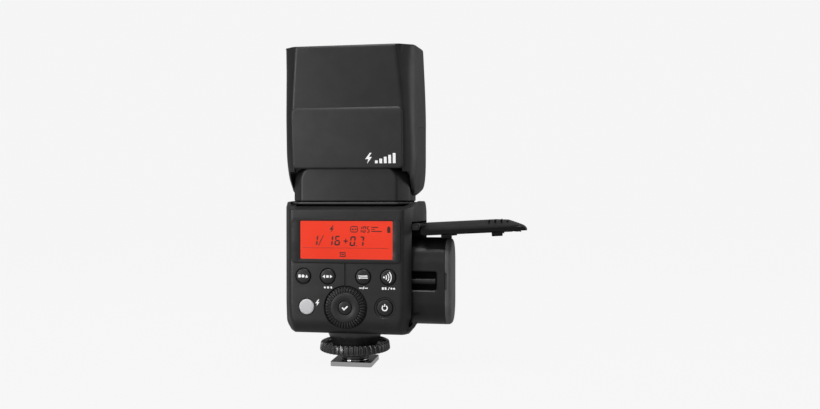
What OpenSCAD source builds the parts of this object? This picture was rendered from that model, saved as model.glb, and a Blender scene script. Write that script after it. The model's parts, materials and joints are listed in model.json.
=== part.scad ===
// Compact hot-shoe flash. Millimetres, +Z up. X runs across the control panel, which faces -Y.
// The origin is the centre of the shoe plate's underside.

/* [Body] */
// Width across the body and head
body_w = 62; // [60:0.5:66]
// Distance from the shoe's centre to the control panel
body_rear = 18.4; // [18:0.1:20]
// Distance from the shoe's centre to the front face
body_front = 19.6; // [19.4:0.1:21]
// Height of the body's underside
body_bottom = 16.3; // [16:0.1:16.6]
// Height of the body's two top shoulders
body_top = 73.3; // [72.8:0.1:73.5]
// Thickness of the moulded covers
wall = 1.6; // [1.4:0.1:1.7]

/* [Head] */
// Height of the flash window's rim with the head straight up
head_top = 140; // [138:0.5:144]
// Height of the tilt axis
tilt_z = 92.5; // [92.3:0.1:93]
// Radius of the neck barrel round the tilt axis
barrel_r = 14.8; // [14.4:0.1:14.9]
// How far the zoom carriage travels
zoom_travel = 10.4; // [8:0.1:10.5]

/* [Battery and door] */
// Radius of the battery's round ends
batt_r = 10.9; // [10.6:0.1:10.9]
// Half the straight part of the battery's section
batt_half = 8.4; // [8:0.1:8.5]
// Length of the battery
batt_len = 49.2; // [46:0.2:49.2]
// How far the battery stands out of its bay at rest
batt_out = 17.9; // [16:0.1:18]
// How far the door stands open at rest, in degrees
door_open = 93; // [90:1:96]

/* [Shoe] */
// Side of the square shoe plate
shoe_w = 18.6; // [18.4:0.1:18.7]
// Thickness of the shoe plate
shoe_t = 2; // [1.8:0.1:2]
// Outer radius of the locking ring
ring_r = 15.9; // [14:0.1:16.5]

/* [Controls] */
// Radius of the four function buttons
button_r = 3.2; // [2.8:0.1:3.4]
// Radius of the select dial
dial_r = 9; // [8:0.1:9.4]

/* [Hidden] */

$fn = 64;
ARC_STEPS = 4;
half_w = body_w / 2;
axis_y = 1;                       // the swivel and tilt axes both stand at this Y
far = 60;                         // longer than anything it cuts
gap = 0.1;                        // moulding gap between two covers

// the round dish in the body's top, in which the neck turns
dish_z = 71;
dish_r = 28.7;

// control panel
panel_y = -body_rear;
screen = [-24.2, 24.2, 46.5, 66];
screen_open = [-20.6, 20.6, 48.5, 64.9];
button_z = 40.9;
button_x = [-18.7, -7.8, 7.8, 18.7];
test_at = [-17.2, 27.6];
test_r = 3.3;
power_at = [17.2, 27.8];
power_r = 3.6;
dial_z = 27.5;
set_r = 3;
button_fit = 0.1;
button_proud = 0.5;
button_flange = 0.7;
board_y = -13.6;                  // rear face of the main board
board_t = 1.2;
switch_y = -15.3;                 // where a pressed button's flange stops

// battery, bay and door
batt_z = 37.9;
batt_home = 25.8;                 // X of the battery's outer end when it is fully in
bay_face = 24;                    // X of the wall that the door's opening is cut back to
bay_gap = 0.2;
bay_wall = 0.9;
cap_len = 2.6;
bay_end = -29.3;                  // outer face of the bay's thin end wall
end_wall = 0.4;
contact_z = [-6, 0, 6];           // spring contacts, from the battery's middle
ejector_t = 0.65;
door_half = 12.9;
opening_half = 13.05;
hinge_x = 30;
hinge_z = 62.3;
hinge_r = 0.8;
knuckle_r = 1.5;
opening_top = hinge_z + 2.1;
hook_y = [-12.9, -10.4];
hook_z = 21;

// head
head_rear_low = 14.2;             // distance of the leaning rear face at z = lean_z
lean_z = 87;
lean = 5.82;                      // degrees that the rear face leans
rear_top = head_rear_low + (head_top - lean_z) * tan(lean);
head_front = 18.4;
head_flare = 1.6;
ear_bottom = tilt_z - 17.4;
ear_in = 26.8;                    // inner faces of the two ears
ear_wall = 1.2;
slot_top = 111.5;
shelf_t = 1.1;
neck_bottom = 73.6;
neck_w = 26.3;
barrel_w = 20.9;
rear_gap_w = 24;                  // half width of the opening under the cover plate
plate_low = 87.5;
plate_high = 113.8;
plate_w = 24.5;
plate_t = 1.15;
axle_r = 4;
run = 0.05;                       // radial clearance of a running fit
frame_low = 136.6;
lens_y = [6.1, 36.8];             // the lens, measured on the leaning top face from its rear edge
lens_z = [-2.6, -0.8];
panel_slot = [0.35, 3.3];         // depth of the diffuser slot behind the rear wall's inside
rod_r = 0.9;
rod_at = [25.6, 2];
screw_at = [-26, 9];
motor_r = 2.6;
motor_top = 120.8;
carriage_low = 113.3;

// foot
spindle_r = 6.2;
washer_low = 4.5;
ring_low = 6.1;
ring_high = 10.2;
pin_at = [[0, 0], [-4, -2.6], [0, -4.7], [4, -2.6]];
pin_r = 0.75;
lock_at = [0, 4.2];
lock_r = 0.9;
shoe_screw_at = [[-6.6, 6.6], [6.6, 6.6], [-6.6, -6.6], [6.6, -6.6]];

// left side ports
port_y = [1.4, 12.1];
port_z = [58.6, 69.6];
port_axis = [-half_w + 0.7, 11.4];
usb_z = 66.6;
jack_z = 61.6;
port_mid = 6.4;
jack_r = 1.25;

// ---------------------------------------------------------------- helpers

function unit(v) = v / norm(v);

// the arc that rounds corner b, [x, y, radius], between its neighbours a and c
function corner(a, b, c) =
  b[2] <= 0 ? [[b[0], b[1]]] :
  let (
    p = [b[0], b[1]],
    u = unit([a[0], a[1]] - p),
    v = unit([c[0], c[1]] - p),
    half = acos(u * v) / 2,
    m = p + unit(u + v) * b[2] / sin(half),
    s = p + u * b[2] / tan(half) - m,
    e = p + v * b[2] / tan(half) - m,
    a0 = atan2(s[1], s[0]),
    turn = atan2(s[0] * e[1] - s[1] * e[0], s * e)
  )
  [for (k = [0:ARC_STEPS]) m + b[2] * [cos(a0 + turn * k / ARC_STEPS), sin(a0 + turn * k / ARC_STEPS)]];

// a closed outline from corners [x, y, radius]
function rounded(c) =
  let (n = len(c))
  [for (i = [0:n - 1]) each corner(c[(i + n - 1) % n], c[i], c[(i + 1) % n])];

function box_outline(x0, x1, y0, y1, r) =
  rounded([[x0, y0, r], [x1, y0, r], [x1, y1, r], [x0, y1, r]]);

// extrudes an outline of [y, z] points along X
module along_x(points, x0, x1) {
  translate([x0, 0, 0]) rotate([90, 0, 90]) linear_extrude(x1 - x0) polygon(points);
}

// extrudes an outline of [x, z] points along Y
module along_y(points, y0, y1) {
  translate([0, y1, 0]) rotate([90, 0, 0]) linear_extrude(y1 - y0) polygon(points);
}

// extrudes an outline of [x, y] points along Z
module along_z(points, z0, z1) {
  translate([0, 0, z0]) linear_extrude(z1 - z0) polygon(points);
}

module block(x0, x1, y0, y1, z0, z1) {
  translate([x0, y0, z0]) cube([x1 - x0, y1 - y0, z1 - z0]);
}

module rod_x(r, y, z, x0, x1) {
  translate([x0, y, z]) rotate([0, 90, 0]) cylinder(h = x1 - x0, r = r);
}

module rod_y(r, x, z, y0, y1) {
  translate([x, y0, z]) rotate([-90, 0, 0]) cylinder(h = y1 - y0, r = r);
}

module rod_z(r, x, y, z0, z1) {
  translate([x, y, z0]) cylinder(h = z1 - z0, r = r);
}

// ---------------------------------------------------------------- shared forms

// plan of the body and head, t inside the outer face, with its rear at -rear
function plan(t, rear, front) =
  let (c = 28.7 - (rear - 12) * 0.62 - 0.55 * t, w = half_w - t)
  rounded([
    [-c, t - rear, 3], [c, t - rear, 3],
    [28.7 - t, 0.3 * t - 12, 5], [w, 0, 6],
    [w, front - t, 7 - t], [-w, front - t, 7 - t],
    [-w, 0, 6], [t - 28.7, 0.3 * t - 12, 5]
  ]);

// the body's solid, t inside its outer face
module body_form(t) {
  difference() {
    intersection() {
      along_z(plan(t, body_rear, body_front), body_bottom + t, body_top - t);
      along_x(rounded([
        [t - body_rear, body_bottom + t, 6.5 - t], [body_front - t, body_bottom + t, 6 - t],
        [body_front - t, body_top - t, 7.6 - t], [-12, body_top - t, 1], [t - body_rear, 69.5 - t, 1.5]
      ]), -far, far);
      along_y(rounded([
        [0.55 * t - 25, body_bottom + t, 3], [25 - 0.55 * t, body_bottom + t, 3],
        [half_w - t, 26.5 + 0.3 * t, 6], [half_w - t, body_top - t, 0],
        [t - half_w, body_top - t, 0], [t - half_w, 26.5 + 0.3 * t, 6]
      ]), -far, far);
    }
    rod_z(dish_r + t, 0, axis_y, dish_z - t, far + dish_z);
  }
}

// the head's solid, t inside its outer face
module head_form(t) {
  front = head_front + head_flare - t;
  front_top = head_top + (front + rear_top) * tan(lean) - t;
  intersection() {
    along_z(plan(t, 19.6, head_front + head_flare), ear_bottom + t, 3 * far);
    along_x(rounded([
      [t - head_rear_low + (lean_z - ear_bottom) * tan(lean), ear_bottom + t, 13.5 - t],
      [head_front - t, ear_bottom + t, 15.5 - t],
      [head_front - t, 100, 20], [front, 125, 20], [front, front_top, 1.2], [t - rear_top, head_top - t, 1.2]
    ]), -far, far);
    along_y(rounded([
      [t - half_w, ear_bottom + t, 9 - t], [half_w - t, ear_bottom + t, 9 - t],
      [half_w - t, 110, 30], [half_w - 1.1 - t, head_top, 10], [half_w - 1.1 - t, 3 * far, 0],
      [1.1 + t - half_w, 3 * far, 0], [1.1 + t - half_w, head_top, 10], [t - half_w, 110, 30]
    ]), -far, far);
  }
}

// places children on the leaning rear face: local Y = 0 is that face, local Z runs up it
module on_rear_face() {
  translate([0, -head_rear_low, lean_z]) rotate([lean, 0, 0]) children();
}

// places children on the head's top face: local Z = 0 is that face, local Y runs forward from its rear edge
module on_top_face() {
  translate([0, -rear_top, head_top]) rotate([lean, 0, 0]) children();
}

// the neck's tombstone section, t inside its outer face
module neck_form(t) {
  intersection() {
    union() {
      rod_x(barrel_r - t, axis_y, tilt_z, -neck_w, neck_w);
      block(-neck_w, neck_w, axis_y - barrel_r + t, axis_y + barrel_r - t, neck_bottom + t, tilt_z);
    }
    along_z(neck_plan(t), 0, 2 * far);
    along_y(rounded([
      [t - neck_w, neck_bottom + t, 0], [neck_w - t, neck_bottom + t, 0],
      [neck_w - t, 81.7, 2], [barrel_w - t, 87.1, 4], [barrel_w - t, tilt_z + 20, 0],
      [t - barrel_w, tilt_z + 20, 0], [t - barrel_w, 87.1, 4], [t - neck_w, 81.7, 2]
    ]), -far, far);
  }
}

function neck_plan(t) =
  let (f = axis_y + barrel_r - t, r = axis_y - barrel_r + t)
  rounded([
    [t - 21.3, r, 3], [21.3 - t, r, 3], [neck_w - t, r + 6.5, 3], [neck_w - t, f - 5, 3],
    [21.3 - t, f, 3], [t - 21.3, f, 3], [t - neck_w, f - 5, 3], [t - neck_w, r + 6.5, 3]
  ]);

// the battery's section grown by g, along X
module stadium(g, x0, x1) {
  rod_x(batt_r + g, 0, batt_z - batt_half, x0, x1);
  rod_x(batt_r + g, 0, batt_z + batt_half, x0, x1);
  block(x0, x1, -batt_r - g, batt_r + g, batt_z - batt_half, batt_z + batt_half);
}

// turns children about the door's hinge, opening as the angle grows
module at_hinge(angle) {
  translate([hinge_x, 0, hinge_z]) rotate([0, -angle, 0]) translate([-hinge_x, 0, -hinge_z]) children();
}

// the space in the body's right side that the door closes
module door_opening(half, low_x) {
  block(low_x, far, -half, half, 0, opening_top);
}

// ---------------------------------------------------------------- body covers

module body_shell() {
  difference() {
    body_form(0);
    body_form(wall);
    door_opening(opening_half, bay_face);
    rod_z(6.6, 0, axis_y, dish_z - 2 * wall, dish_z + 1);
  }
}

module panel_cuts() {
  along_y(box_outline(screen[0], screen[1], screen[2], screen[3], 2.2), panel_y - 1, panel_y + 0.9);
  block(screen_open[0] - 0.6, screen_open[1] + 0.6, panel_y - 1, panel_y + 2 * wall,
        screen_open[2] - 0.6, screen_open[3] + 0.6);
  for (x = button_x) rod_y(button_r + button_fit, x, button_z, panel_y - 1, panel_y + 2 * wall);
  rod_y(test_r + button_fit, test_at[0], test_at[1], panel_y - 1, panel_y + 2 * wall);
  rod_y(power_r + button_fit, power_at[0], power_at[1], panel_y - 1, panel_y + 2 * wall);
  rod_y(power_r + 0.9, power_at[0], power_at[1], panel_y - 1, panel_y + 0.4);
  rod_y(dial_r + 0.15, 0, dial_z, panel_y - 1, panel_y + 2 * wall);
  block(-0.3, 0.3, panel_y - 1, panel_y + 0.4, dial_z + dial_r, screen[2]);
}

module rear_cover() {
  color([0.16, 0.16, 0.17]) difference() {
    intersection() {
      body_shell();
      block(-far, far, -far, -gap / 2, 0, 2 * far);
    }
    panel_cuts();
  }
}

module front_cover() {
  color([0.15, 0.15, 0.16]) difference() {
    union() {
      intersection() {
        body_shell();
        block(-far, far, gap / 2, far, 0, 2 * far);
      }
      for (x = [-20, 20], z = [26, 56]) rod_y(2.4, x, z, 14, body_front - 1);
    }
    for (x = [-20, 20], z = [26, 56]) {
      rod_y(1, x, z, 13, body_front + 1);
      rod_y(1.8, x, z, body_front - 1.2, body_front + 1);
    }
    along_y(box_outline(-12, 12, 30, 48, 2), body_front - 2 * wall, body_front + 1);
    rod_y(3.5, 0, 55, body_front - 2 * wall, body_front + 1);
    block(-far, 0, port_y[0], port_y[1], port_z[0], port_z[1]);
  }
}

module body_screws() {
  color([0.1, 0.1, 0.1]) for (x = [-20, 20], z = [26, 56]) difference() {
    union() {
      rod_y(1, x, z, 14.5, body_front - 1);
      rod_y(1.7, x, z, body_front - 1.2, body_front - 0.2);
    }
    for (turn = [0, 90]) translate([x, body_front, z]) rotate([0, turn, 0]) cube([2, 1, 0.4], center = true);
  }
}

// ---------------------------------------------------------------- panel

module lcd_bezel() {
  color([0.05, 0.05, 0.05]) difference() {
    along_y(box_outline(screen[0] + 0.08, screen[1] - 0.08, screen[2] + 0.08, screen[3] - 0.08, 2.1),
            panel_y - 0.15, panel_y + 0.9);
    along_y(box_outline(screen_open[0], screen_open[1], screen_open[2], screen_open[3], 0.4),
            panel_y - 1, panel_y + 2);
  }
}

module lcd_module() {
  color([0.92, 0.27, 0.19]) {
    block(screen_open[0] - 0.4, screen_open[1] + 0.4, panel_y + 0.95, board_y - 0.05,
          screen_open[2] - 0.4, screen_open[3] + 0.4);
    block(screen_open[0] + 0.1, screen_open[1] - 0.1, panel_y + 0.05, panel_y + 0.95,
          screen_open[2] + 0.1, screen_open[3] - 0.1);
  }
}

module main_board() {
  color([0.1, 0.35, 0.2]) {
    difference() {
      intersection() {
        body_form(wall + 0.3);
        block(-26.5, bay_face - 1.4, board_y, board_y + board_t, 20.5, 66);
      }
      rod_y(4, 0, dial_z, -far, 0);
    }
    for (x = button_x) rod_y(1.4, x, button_z, switch_y, board_y);
    rod_y(1.4, test_at[0], test_at[1], switch_y, board_y);
    rod_y(1.4, power_at[0], power_at[1], switch_y, board_y);
    difference() {
      rod_y(7.2, 0, dial_z, panel_y + 3, board_y);
      rod_y(5.6 + run, 0, dial_z, -far, 0);
    }
    rod_y(1, 0, dial_z, switch_y, board_y + board_t);
    block(-4.5, 4.5, board_y + 0.3, board_y + board_t, dial_z - 0.8, dial_z + 0.8);
  }
}

// a push button whose flange is held behind the panel
module push_button(x, z, r, proud) {
  rod_y(r, x, z, panel_y - proud, panel_y + wall + 0.1);
  rod_y(r + button_flange, x, z, panel_y + wall + 0.05, panel_y + wall + 0.8);
}

module mode_button() { color([0.1, 0.1, 0.1]) push_button(button_x[0], button_z, button_r, button_proud); }
module zoom_button() { color([0.1, 0.1, 0.1]) push_button(button_x[1], button_z, button_r, button_proud); }
module sync_button() { color([0.1, 0.1, 0.1]) push_button(button_x[2], button_z, button_r, button_proud); }
module slave_button() { color([0.1, 0.1, 0.1]) push_button(button_x[3], button_z, button_r, button_proud); }
module test_button() { color([0.7, 0.7, 0.7]) push_button(test_at[0], test_at[1], test_r, button_proud); }
module power_button() { color([0.1, 0.1, 0.1]) push_button(power_at[0], power_at[1], power_r, 0.1); }

module set_button() {
  color([0.12, 0.12, 0.12]) {
    rod_y(set_r, 0, dial_z, panel_y - 1.1, panel_y + 1.2);
    rod_y(3.8, 0, dial_z, panel_y + 1.2, panel_y + 2.2);
  }
}

module select_dial() {
  rib_count = 40;
  color([0.08, 0.08, 0.08]) difference() {
    union() {
      rod_y(dial_r, 0, dial_z, panel_y - 1, panel_y + 1.1);
      rod_y(5.6, 0, dial_z, panel_y + 1, board_y - 0.3);
    }
    rod_y(set_r + button_fit, 0, dial_z, -far, 0);
    rod_y(4.4, 0, dial_z, panel_y + 1.1, 0);
    for (k = [0:rib_count - 1]) translate([0, panel_y - 1, dial_z]) rotate([0, k * 360 / rib_count, 0])
      translate([dial_r - 1, -0.1, -0.3]) cube([2, 1.1, 0.6]);
  }
}

// ---------------------------------------------------------------- inside the body

module capacitors() {
  color([0.12, 0.14, 0.25]) {
    rod_x(5.2, 12, 63.9, -19, bay_face - 1.4);
    rod_x(4.8, -7.4, 62.6, -24, bay_face - 1.4);
  }
}

module transformer() {
  color([0.75, 0.6, 0.2]) block(-18, -8, 12.6, 17.6, 42, 52);
}

module battery_bay() {
  lip = door_half - 0.3;
  color([0.1, 0.1, 0.1]) {
    intersection() {
      body_form(wall + 0.05);
      difference() {
        union() {
          stadium(bay_gap + bay_wall, bay_end, bay_face);
          block(bay_face - 1.2, far, -far, far, 0, opening_top + 1.5);
        }
        stadium(bay_gap, bay_end + end_wall, far);
        door_opening(opening_half, bay_face);
        for (x = [-14, 14]) rod_y(3, x, 26, 13, far);
        for (z = contact_z) contact(z, bay_gap);
      }
    }
    for (s = [-1, 1]) hinge_post(s);
    difference() {
      along_y([[bay_face - 0.5, 19], [bay_face + 0.1, 19], [bay_face + 0.1, 16.9], [27, 16.9], [30.2, 20.4],
               [30.2, hook_z], [28.8, hook_z], [27.4, 18.9], [26, 18.9], [bay_face + 0.1, hook_z],
               [bay_face - 0.5, hook_z]], hook_y[0] + 0.3, hook_y[1] - 0.3);
      stadium(bay_gap, -far, far);
    }
  }
}

// one of the two posts that hold the door's hinge pin
module hinge_post(s) {
  difference() {
    union() {
      rod_y(knuckle_r, hinge_x - 0.2, hinge_z, s > 0 ? 8 : -12, s > 0 ? 12 : -8);
      block(bay_face - 0.5, hinge_x - 0.2, s > 0 ? 8 : -12, s > 0 ? 12 : -8,
            hinge_z - knuckle_r, hinge_z + 1.2);
    }
    rod_y(hinge_r, hinge_x, hinge_z, -far, far);
  }
}

module door_hinge_pin() {
  color([0.75, 0.75, 0.75]) rod_y(hinge_r, hinge_x, hinge_z, -door_half + 0.4, door_half - 0.4);
}

// one spring contact in the end wall of the bay, at a height above the battery's middle, grown by g
module contact(z, g) {
  block(bay_end - g, bay_end + end_wall + g, 0.3 - g, 2.7 + g, batt_z + z - 1.2 - g, batt_z + z + 1.2 + g);
}

module bay_contacts() {
  color([0.85, 0.65, 0.25]) for (z = contact_z) {
    contact(z, 0);
    rod_x(0.8, 1.5, batt_z + z, bay_end, batt_home - batt_len - 0.2);
  }
}

module ejector() {
  color([0.3, 0.3, 0.3]) translate([batt_out, 0, 0]) difference() {
    stadium(-0.3, batt_home - batt_len - 0.1 - ejector_t, batt_home - batt_len - 0.1);
    for (z = contact_z) rod_x(1.4, 1.5, batt_z + z, -far, 0);
  }
}

module battery_case() {
  x0 = batt_home - batt_len;
  color([0.09, 0.09, 0.09]) translate([batt_out, 0, 0]) difference() {
    stadium(0, x0, batt_home - cap_len);
    stadium(-1, x0 + 1, batt_home);
    block(8, batt_home - cap_len - 0.2, -far, -batt_r + 0.7, batt_z - 4.8, batt_z + 3.2);
  }
}

module battery_cap() {
  x0 = batt_home - cap_len;
  color([0.2, 0.2, 0.2]) translate([batt_out, 0, 0]) {
    hull() for (s = [-1, 1]) translate([x0, 0, batt_z + s * batt_half]) rotate([0, 90, 0])
      cylinder(h = cap_len, r1 = batt_r, r2 = batt_r - cap_len, $fn = 48);
    stadium(-1.1, x0 - 1, x0);
  }
}

module battery_cells() {
  color([0.2, 0.4, 0.7]) translate([batt_out, 0, 0]) for (s = [-1, 1])
    rod_x(9.1, 0, batt_z + s * 9.15, batt_home - batt_len + 1.2, batt_home - cap_len - 1.2);
}

// the door as it lies when shut
module door_shut() {
  rim = [11.6, 12.8];
  difference() {
    union() {
      intersection() {
        difference() {
          body_form(0);
          body_form(wall);
        }
        door_opening(door_half, 24.3);
        block(0, far, -far, far, 0, opening_top - 0.3);
      }
      intersection() {
        body_form(wall / 2);
        for (s = [-1, 1]) block(26, far, s > 0 ? rim[0] : -rim[1], s > 0 ? rim[1] : -rim[0], 0, hinge_z - 3);
      }
      for (s = [-1, 1], z = [26.8, 49]) block(24.4, 27, s * 12.2 - 0.6, s * 12.2 + 0.6, z - 2.3, z + 2.3);
      rod_y(knuckle_r, hinge_x - 0.2, hinge_z, -7.8, 7.8);
      block(hinge_x - 1.6, hinge_x + 0.6, -7.8, 7.8, hinge_z - 3, hinge_z);
      for (k = [0:3]) block(half_w - 0.3, half_w + 0.35, -5, 5, 28.5 + 3 * k, 29.1 + 3 * k);
    }
    rod_y(hinge_r + run, hinge_x, hinge_z, -far, far);
    for (s = [-1, 1])
      block(bay_face, hinge_x + 2, s > 0 ? 7.8 : -far, s > 0 ? far : -7.8, hinge_z - 1.7, far + hinge_z);
    block(0, far, hook_y[0] - 1, hook_y[1] + 0.1, 0, hook_z + 0.4);
  }
}

module battery_door() { color([0.12, 0.12, 0.12]) at_hinge(door_open) door_shut(); }

module door_pad() {
  color([0.25, 0.25, 0.25]) at_hinge(door_open) block(27.6, half_w - wall - 0.35, -1, 9, 30, 46);
}

// ---------------------------------------------------------------- front and left side

module sensor_window() {
  color([0.35, 0.02, 0.03])
    along_y(box_outline(-11.9, 11.9, 30.1, 47.9, 1.9), body_front - wall, body_front - 0.1);
}

module assist_lens() {
  color([0.8, 0.2, 0.15]) rod_y(3.4, 0, 55, body_front - wall - 0.8, body_front - 0.1);
}

module sync_jack() {
  color([0.7, 0.7, 0.7]) difference() {
    rod_x(2.4, port_mid, jack_z, -half_w + 2, -half_w + 10);
    rod_x(jack_r, port_mid, jack_z, -far, -half_w + 9);
  }
}

module usb_port() {
  color([0.7, 0.7, 0.7]) difference() {
    along_x(box_outline(port_mid - 4.7, port_mid + 4.7, usb_z - 1.7, usb_z + 1.7, 1.6),
            -half_w + 2, -half_w + 9);
    along_x(box_outline(port_mid - 4.4, port_mid + 4.4, usb_z - 1.4, usb_z + 1.4, 1.3), -far, -half_w + 8);
  }
}

module port_cover() {
  color([0.1, 0.1, 0.1]) {
    rod_z(0.7, port_axis[0], port_axis[1], port_z[0] + 0.15, port_z[1] - 0.15);
    block(-half_w, -half_w + 1.4, port_y[0] + 0.15, port_axis[1], port_z[0] + 0.15, port_z[1] - 0.15);
  }
}

// ---------------------------------------------------------------- foot

module foot_base() {
  color([0.1, 0.1, 0.1]) difference() {
    union() {
      rod_z(spindle_r, 0, 0, shoe_t, 10);
      translate([0, 0, 8.6]) cylinder(h = body_bottom - 8.6, r1 = 10.2, r2 = 13);
    }
    for (p = pin_at) rod_z(1.3, p[0], p[1], 0, 5);
    rod_z(lock_r + run, lock_at[0], lock_at[1], 0, 12);
  }
}

module shoe_plate() {
  side = shoe_w / 2;
  color([0.8, 0.8, 0.82]) difference() {
    union() {
      along_z(rounded([[-side, -9, 1], [side, -9, 1], [side, 9, 1], [-side, 9, 1]]), 0, shoe_t);
      translate([0, 0, shoe_t]) difference() {
        cylinder(h = 0.8, r = 6.24);
        translate([0, 0, -1]) cylinder(h = 3, r = spindle_r);
      }
    }
    for (p = pin_at) rod_z(pin_r + run, p[0], p[1], -1, 3);
    for (p = pin_at) rod_z(1.3, p[0], p[1], 1, 3);
    rod_z(lock_r + run, lock_at[0], lock_at[1], -1, 3);
    for (p = shoe_screw_at) rod_z(0.7, p[0], p[1], -1, 3);
    for (p = shoe_screw_at) rod_z(1.3, p[0], p[1], -1, 0.8);
  }
}

module shoe_screws() {
  color([0.5, 0.5, 0.5]) for (p = shoe_screw_at) difference() {
    union() {
      rod_z(1.2, p[0], p[1], 0.1, 0.8);
      rod_z(0.7, p[0], p[1], 0.8, shoe_t);
    }
    translate([p[0], p[1], 0]) cube([1.6, 0.3, 0.6], center = true);
  }
}

module contact_pins() {
  color([0.85, 0.65, 0.25]) for (p = pin_at) {
    rod_z(pin_r, p[0], p[1], -0.5, 1.4);
    rod_z(1.15, p[0], p[1], 1.1, 1.9);
  }
}

module lock_pin() {
  color([0.8, 0.8, 0.8]) rod_z(lock_r, lock_at[0], lock_at[1], 0.2, 8);
}

module locking_ring() {
  rib_count = 44;
  color([0.12, 0.12, 0.12]) difference() {
    rod_z(ring_r, 0, 0, ring_low, ring_high);
    rod_z(spindle_r + run, 0, 0, 0, far);
    rod_z(14.3, 0, 0, 8.2, far);
    for (k = [0:rib_count - 1]) rotate([0, 0, k * 360 / rib_count])
      translate([ring_r - 0.6, -0.5, 0]) cube([2, 1, far]);
  }
}

module clamp_washer() {
  color([0.2, 0.2, 0.2]) difference() {
    translate([0, 0, washer_low]) cylinder(h = ring_low - washer_low - 0.1, r1 = 9, r2 = 11);
    rod_z(spindle_r + run, 0, 0, 0, far);
  }
}

// ---------------------------------------------------------------- neck

module neck_shell() {
  difference() {
    neck_form(0);
    neck_form(wall);
    rod_x(axle_r, axis_y, tilt_z, -far, far);
    rod_z(3.6, 0, axis_y, neck_bottom - 1, neck_bottom + 3);
  }
}

module neck_rear_cover() {
  color([0.15, 0.15, 0.15]) intersection() {
    neck_shell();
    block(-far, far, -far, axis_y, 0, 2 * far);
  }
}

module neck_front_cover() {
  color([0.14, 0.14, 0.14]) intersection() {
    neck_shell();
    block(-far, far, axis_y, far, 0, 2 * far);
  }
}

module turntable() {
  color([0.22, 0.22, 0.22]) difference() {
    union() {
      along_z(neck_plan(0.7), dish_z + 0.4, neck_bottom - 0.1);
      rod_z(5.2, 0, axis_y, 67.6, dish_z + 1);
    }
    rod_z(3.6, 0, axis_y, 0, far * 2);
  }
}

module swivel_bush() {
  color([0.8, 0.7, 0.4]) difference() {
    rod_z(6.6, 0, axis_y, dish_z - wall, dish_z + 0.2);
    rod_z(5.2 + run, 0, axis_y, 0, far * 2);
  }
}

module swivel_clip() {
  color([0.7, 0.7, 0.7]) difference() {
    rod_z(6, 0, axis_y, 68.2, 69.2);
    rod_z(5.2, 0, axis_y, 0, far * 2);
  }
}

module tilt_axle() {
  color([0.7, 0.7, 0.7]) difference() {
    rod_x(axle_r, axis_y, tilt_z, -28.5, 28.5);
    rod_x(axle_r - 1, axis_y, tilt_z, -far, far);
    rod_z(3, 0, axis_y, 0, tilt_z);
  }
}

// ---------------------------------------------------------------- head

// outline, in [y, z], of the cap on each ear, grown by g
function ear_outline(g) = rounded([
  [-7 - g, 70, 0], [15.5 + g, 70, 0], [15.5 + g, 106 + g, 4], [-7 - g, 106 + g, 4]
]);

// the space between the ears in which the neck swings
module neck_slot() {
  block(-ear_in, ear_in, -far, far, 0, plate_low);
  block(-ear_in, ear_in, axis_y, far, 0, slot_top);
  rod_x(barrel_r + 0.4, axis_y, tilt_z, -ear_in, ear_in);
}

module head_shell() {
  difference() {
    union() {
      difference() {
        head_form(0);
        head_form(wall);
      }
      intersection() {
        head_form(wall / 2);
        union() {
          for (s = [-1, 1]) block(s > 0 ? ear_in : -ear_in - ear_wall, s > 0 ? ear_in + ear_wall : -ear_in,
                                  -far, far, 0, slot_top + shelf_t);
          block(-ear_in - ear_wall, ear_in + ear_wall, -far, far, slot_top, slot_top + shelf_t);
        }
      }
    }
    neck_slot();
    rod_x(axle_r + run, axis_y, tilt_z, -29.3, 29.3);
    block(-far, far, -far, far, frame_low, far + head_top);
    for (s = [-1, 1]) along_x(ear_outline(0.08), s > 0 ? 28.3 : -far, s > 0 ? far : -28.3);
  }
}

module head_rear_cover() {
  color([0.16, 0.16, 0.17]) difference() {
    intersection() {
      head_shell();
      block(-far, far, -far, axis_y, 0, 3 * far);
    }
    on_rear_face() along_y(box_outline(-plate_w, plate_w, -far, plate_high - lean_z, 1.5), -5, plate_t - 1);
    block(-rear_gap_w, rear_gap_w, -far, 0, 0, tilt_z + 4);
  }
}

module head_front_cover() {
  color([0.15, 0.15, 0.16]) difference() {
    union() {
      intersection() {
        head_shell();
        block(-far, far, axis_y, far, 0, 3 * far);
      }
      for (x = [-24, 24]) rod_y(2.2, x, 130, 15, head_front + 1.6);
    }
    for (x = [-24, 24]) {
      rod_y(1, x, 130, 14, far);
      rod_y(1.7, x, 130, head_front + 0.8, far);
    }
  }
}

module head_screws() {
  color([0.1, 0.1, 0.1]) for (x = [-24, 24]) difference() {
    union() {
      rod_y(1, x, 130, 15.5, head_front + 1);
      rod_y(1.6, x, 130, head_front + 0.8, head_front + 1.6);
    }
    for (turn = [0, 90])
      translate([x, head_front + 1.6, 130]) rotate([0, turn, 0]) cube([2, 0.9, 0.4], center = true);
  }
}

module cover_plate() {
  color([0.17, 0.17, 0.18]) on_rear_face()
    along_y(box_outline(-plate_w + 0.05, plate_w - 0.05, plate_low - lean_z, plate_high - lean_z - 0.05, 1.4),
            -1, plate_t - 1);
}

module ear_cap(s) {
  intersection() {
    difference() {
      head_form(0);
      head_form(wall);
    }
    along_x(ear_outline(0), s > 0 ? 28.4 : -far, s > 0 ? far : -28.4);
  }
}

module ear_cap_left() { color([0.13, 0.13, 0.13]) ear_cap(-1); }
module ear_cap_right() { color([0.13, 0.13, 0.13]) ear_cap(1); }

// the slot behind the rear wall that both diffuser panels stand in
module panel_space(x, y0, y1, z0, z1) {
  on_rear_face() block(-x, x, wall + y0, wall + y1, z0 - lean_z, z1 - lean_z);
}

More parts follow.
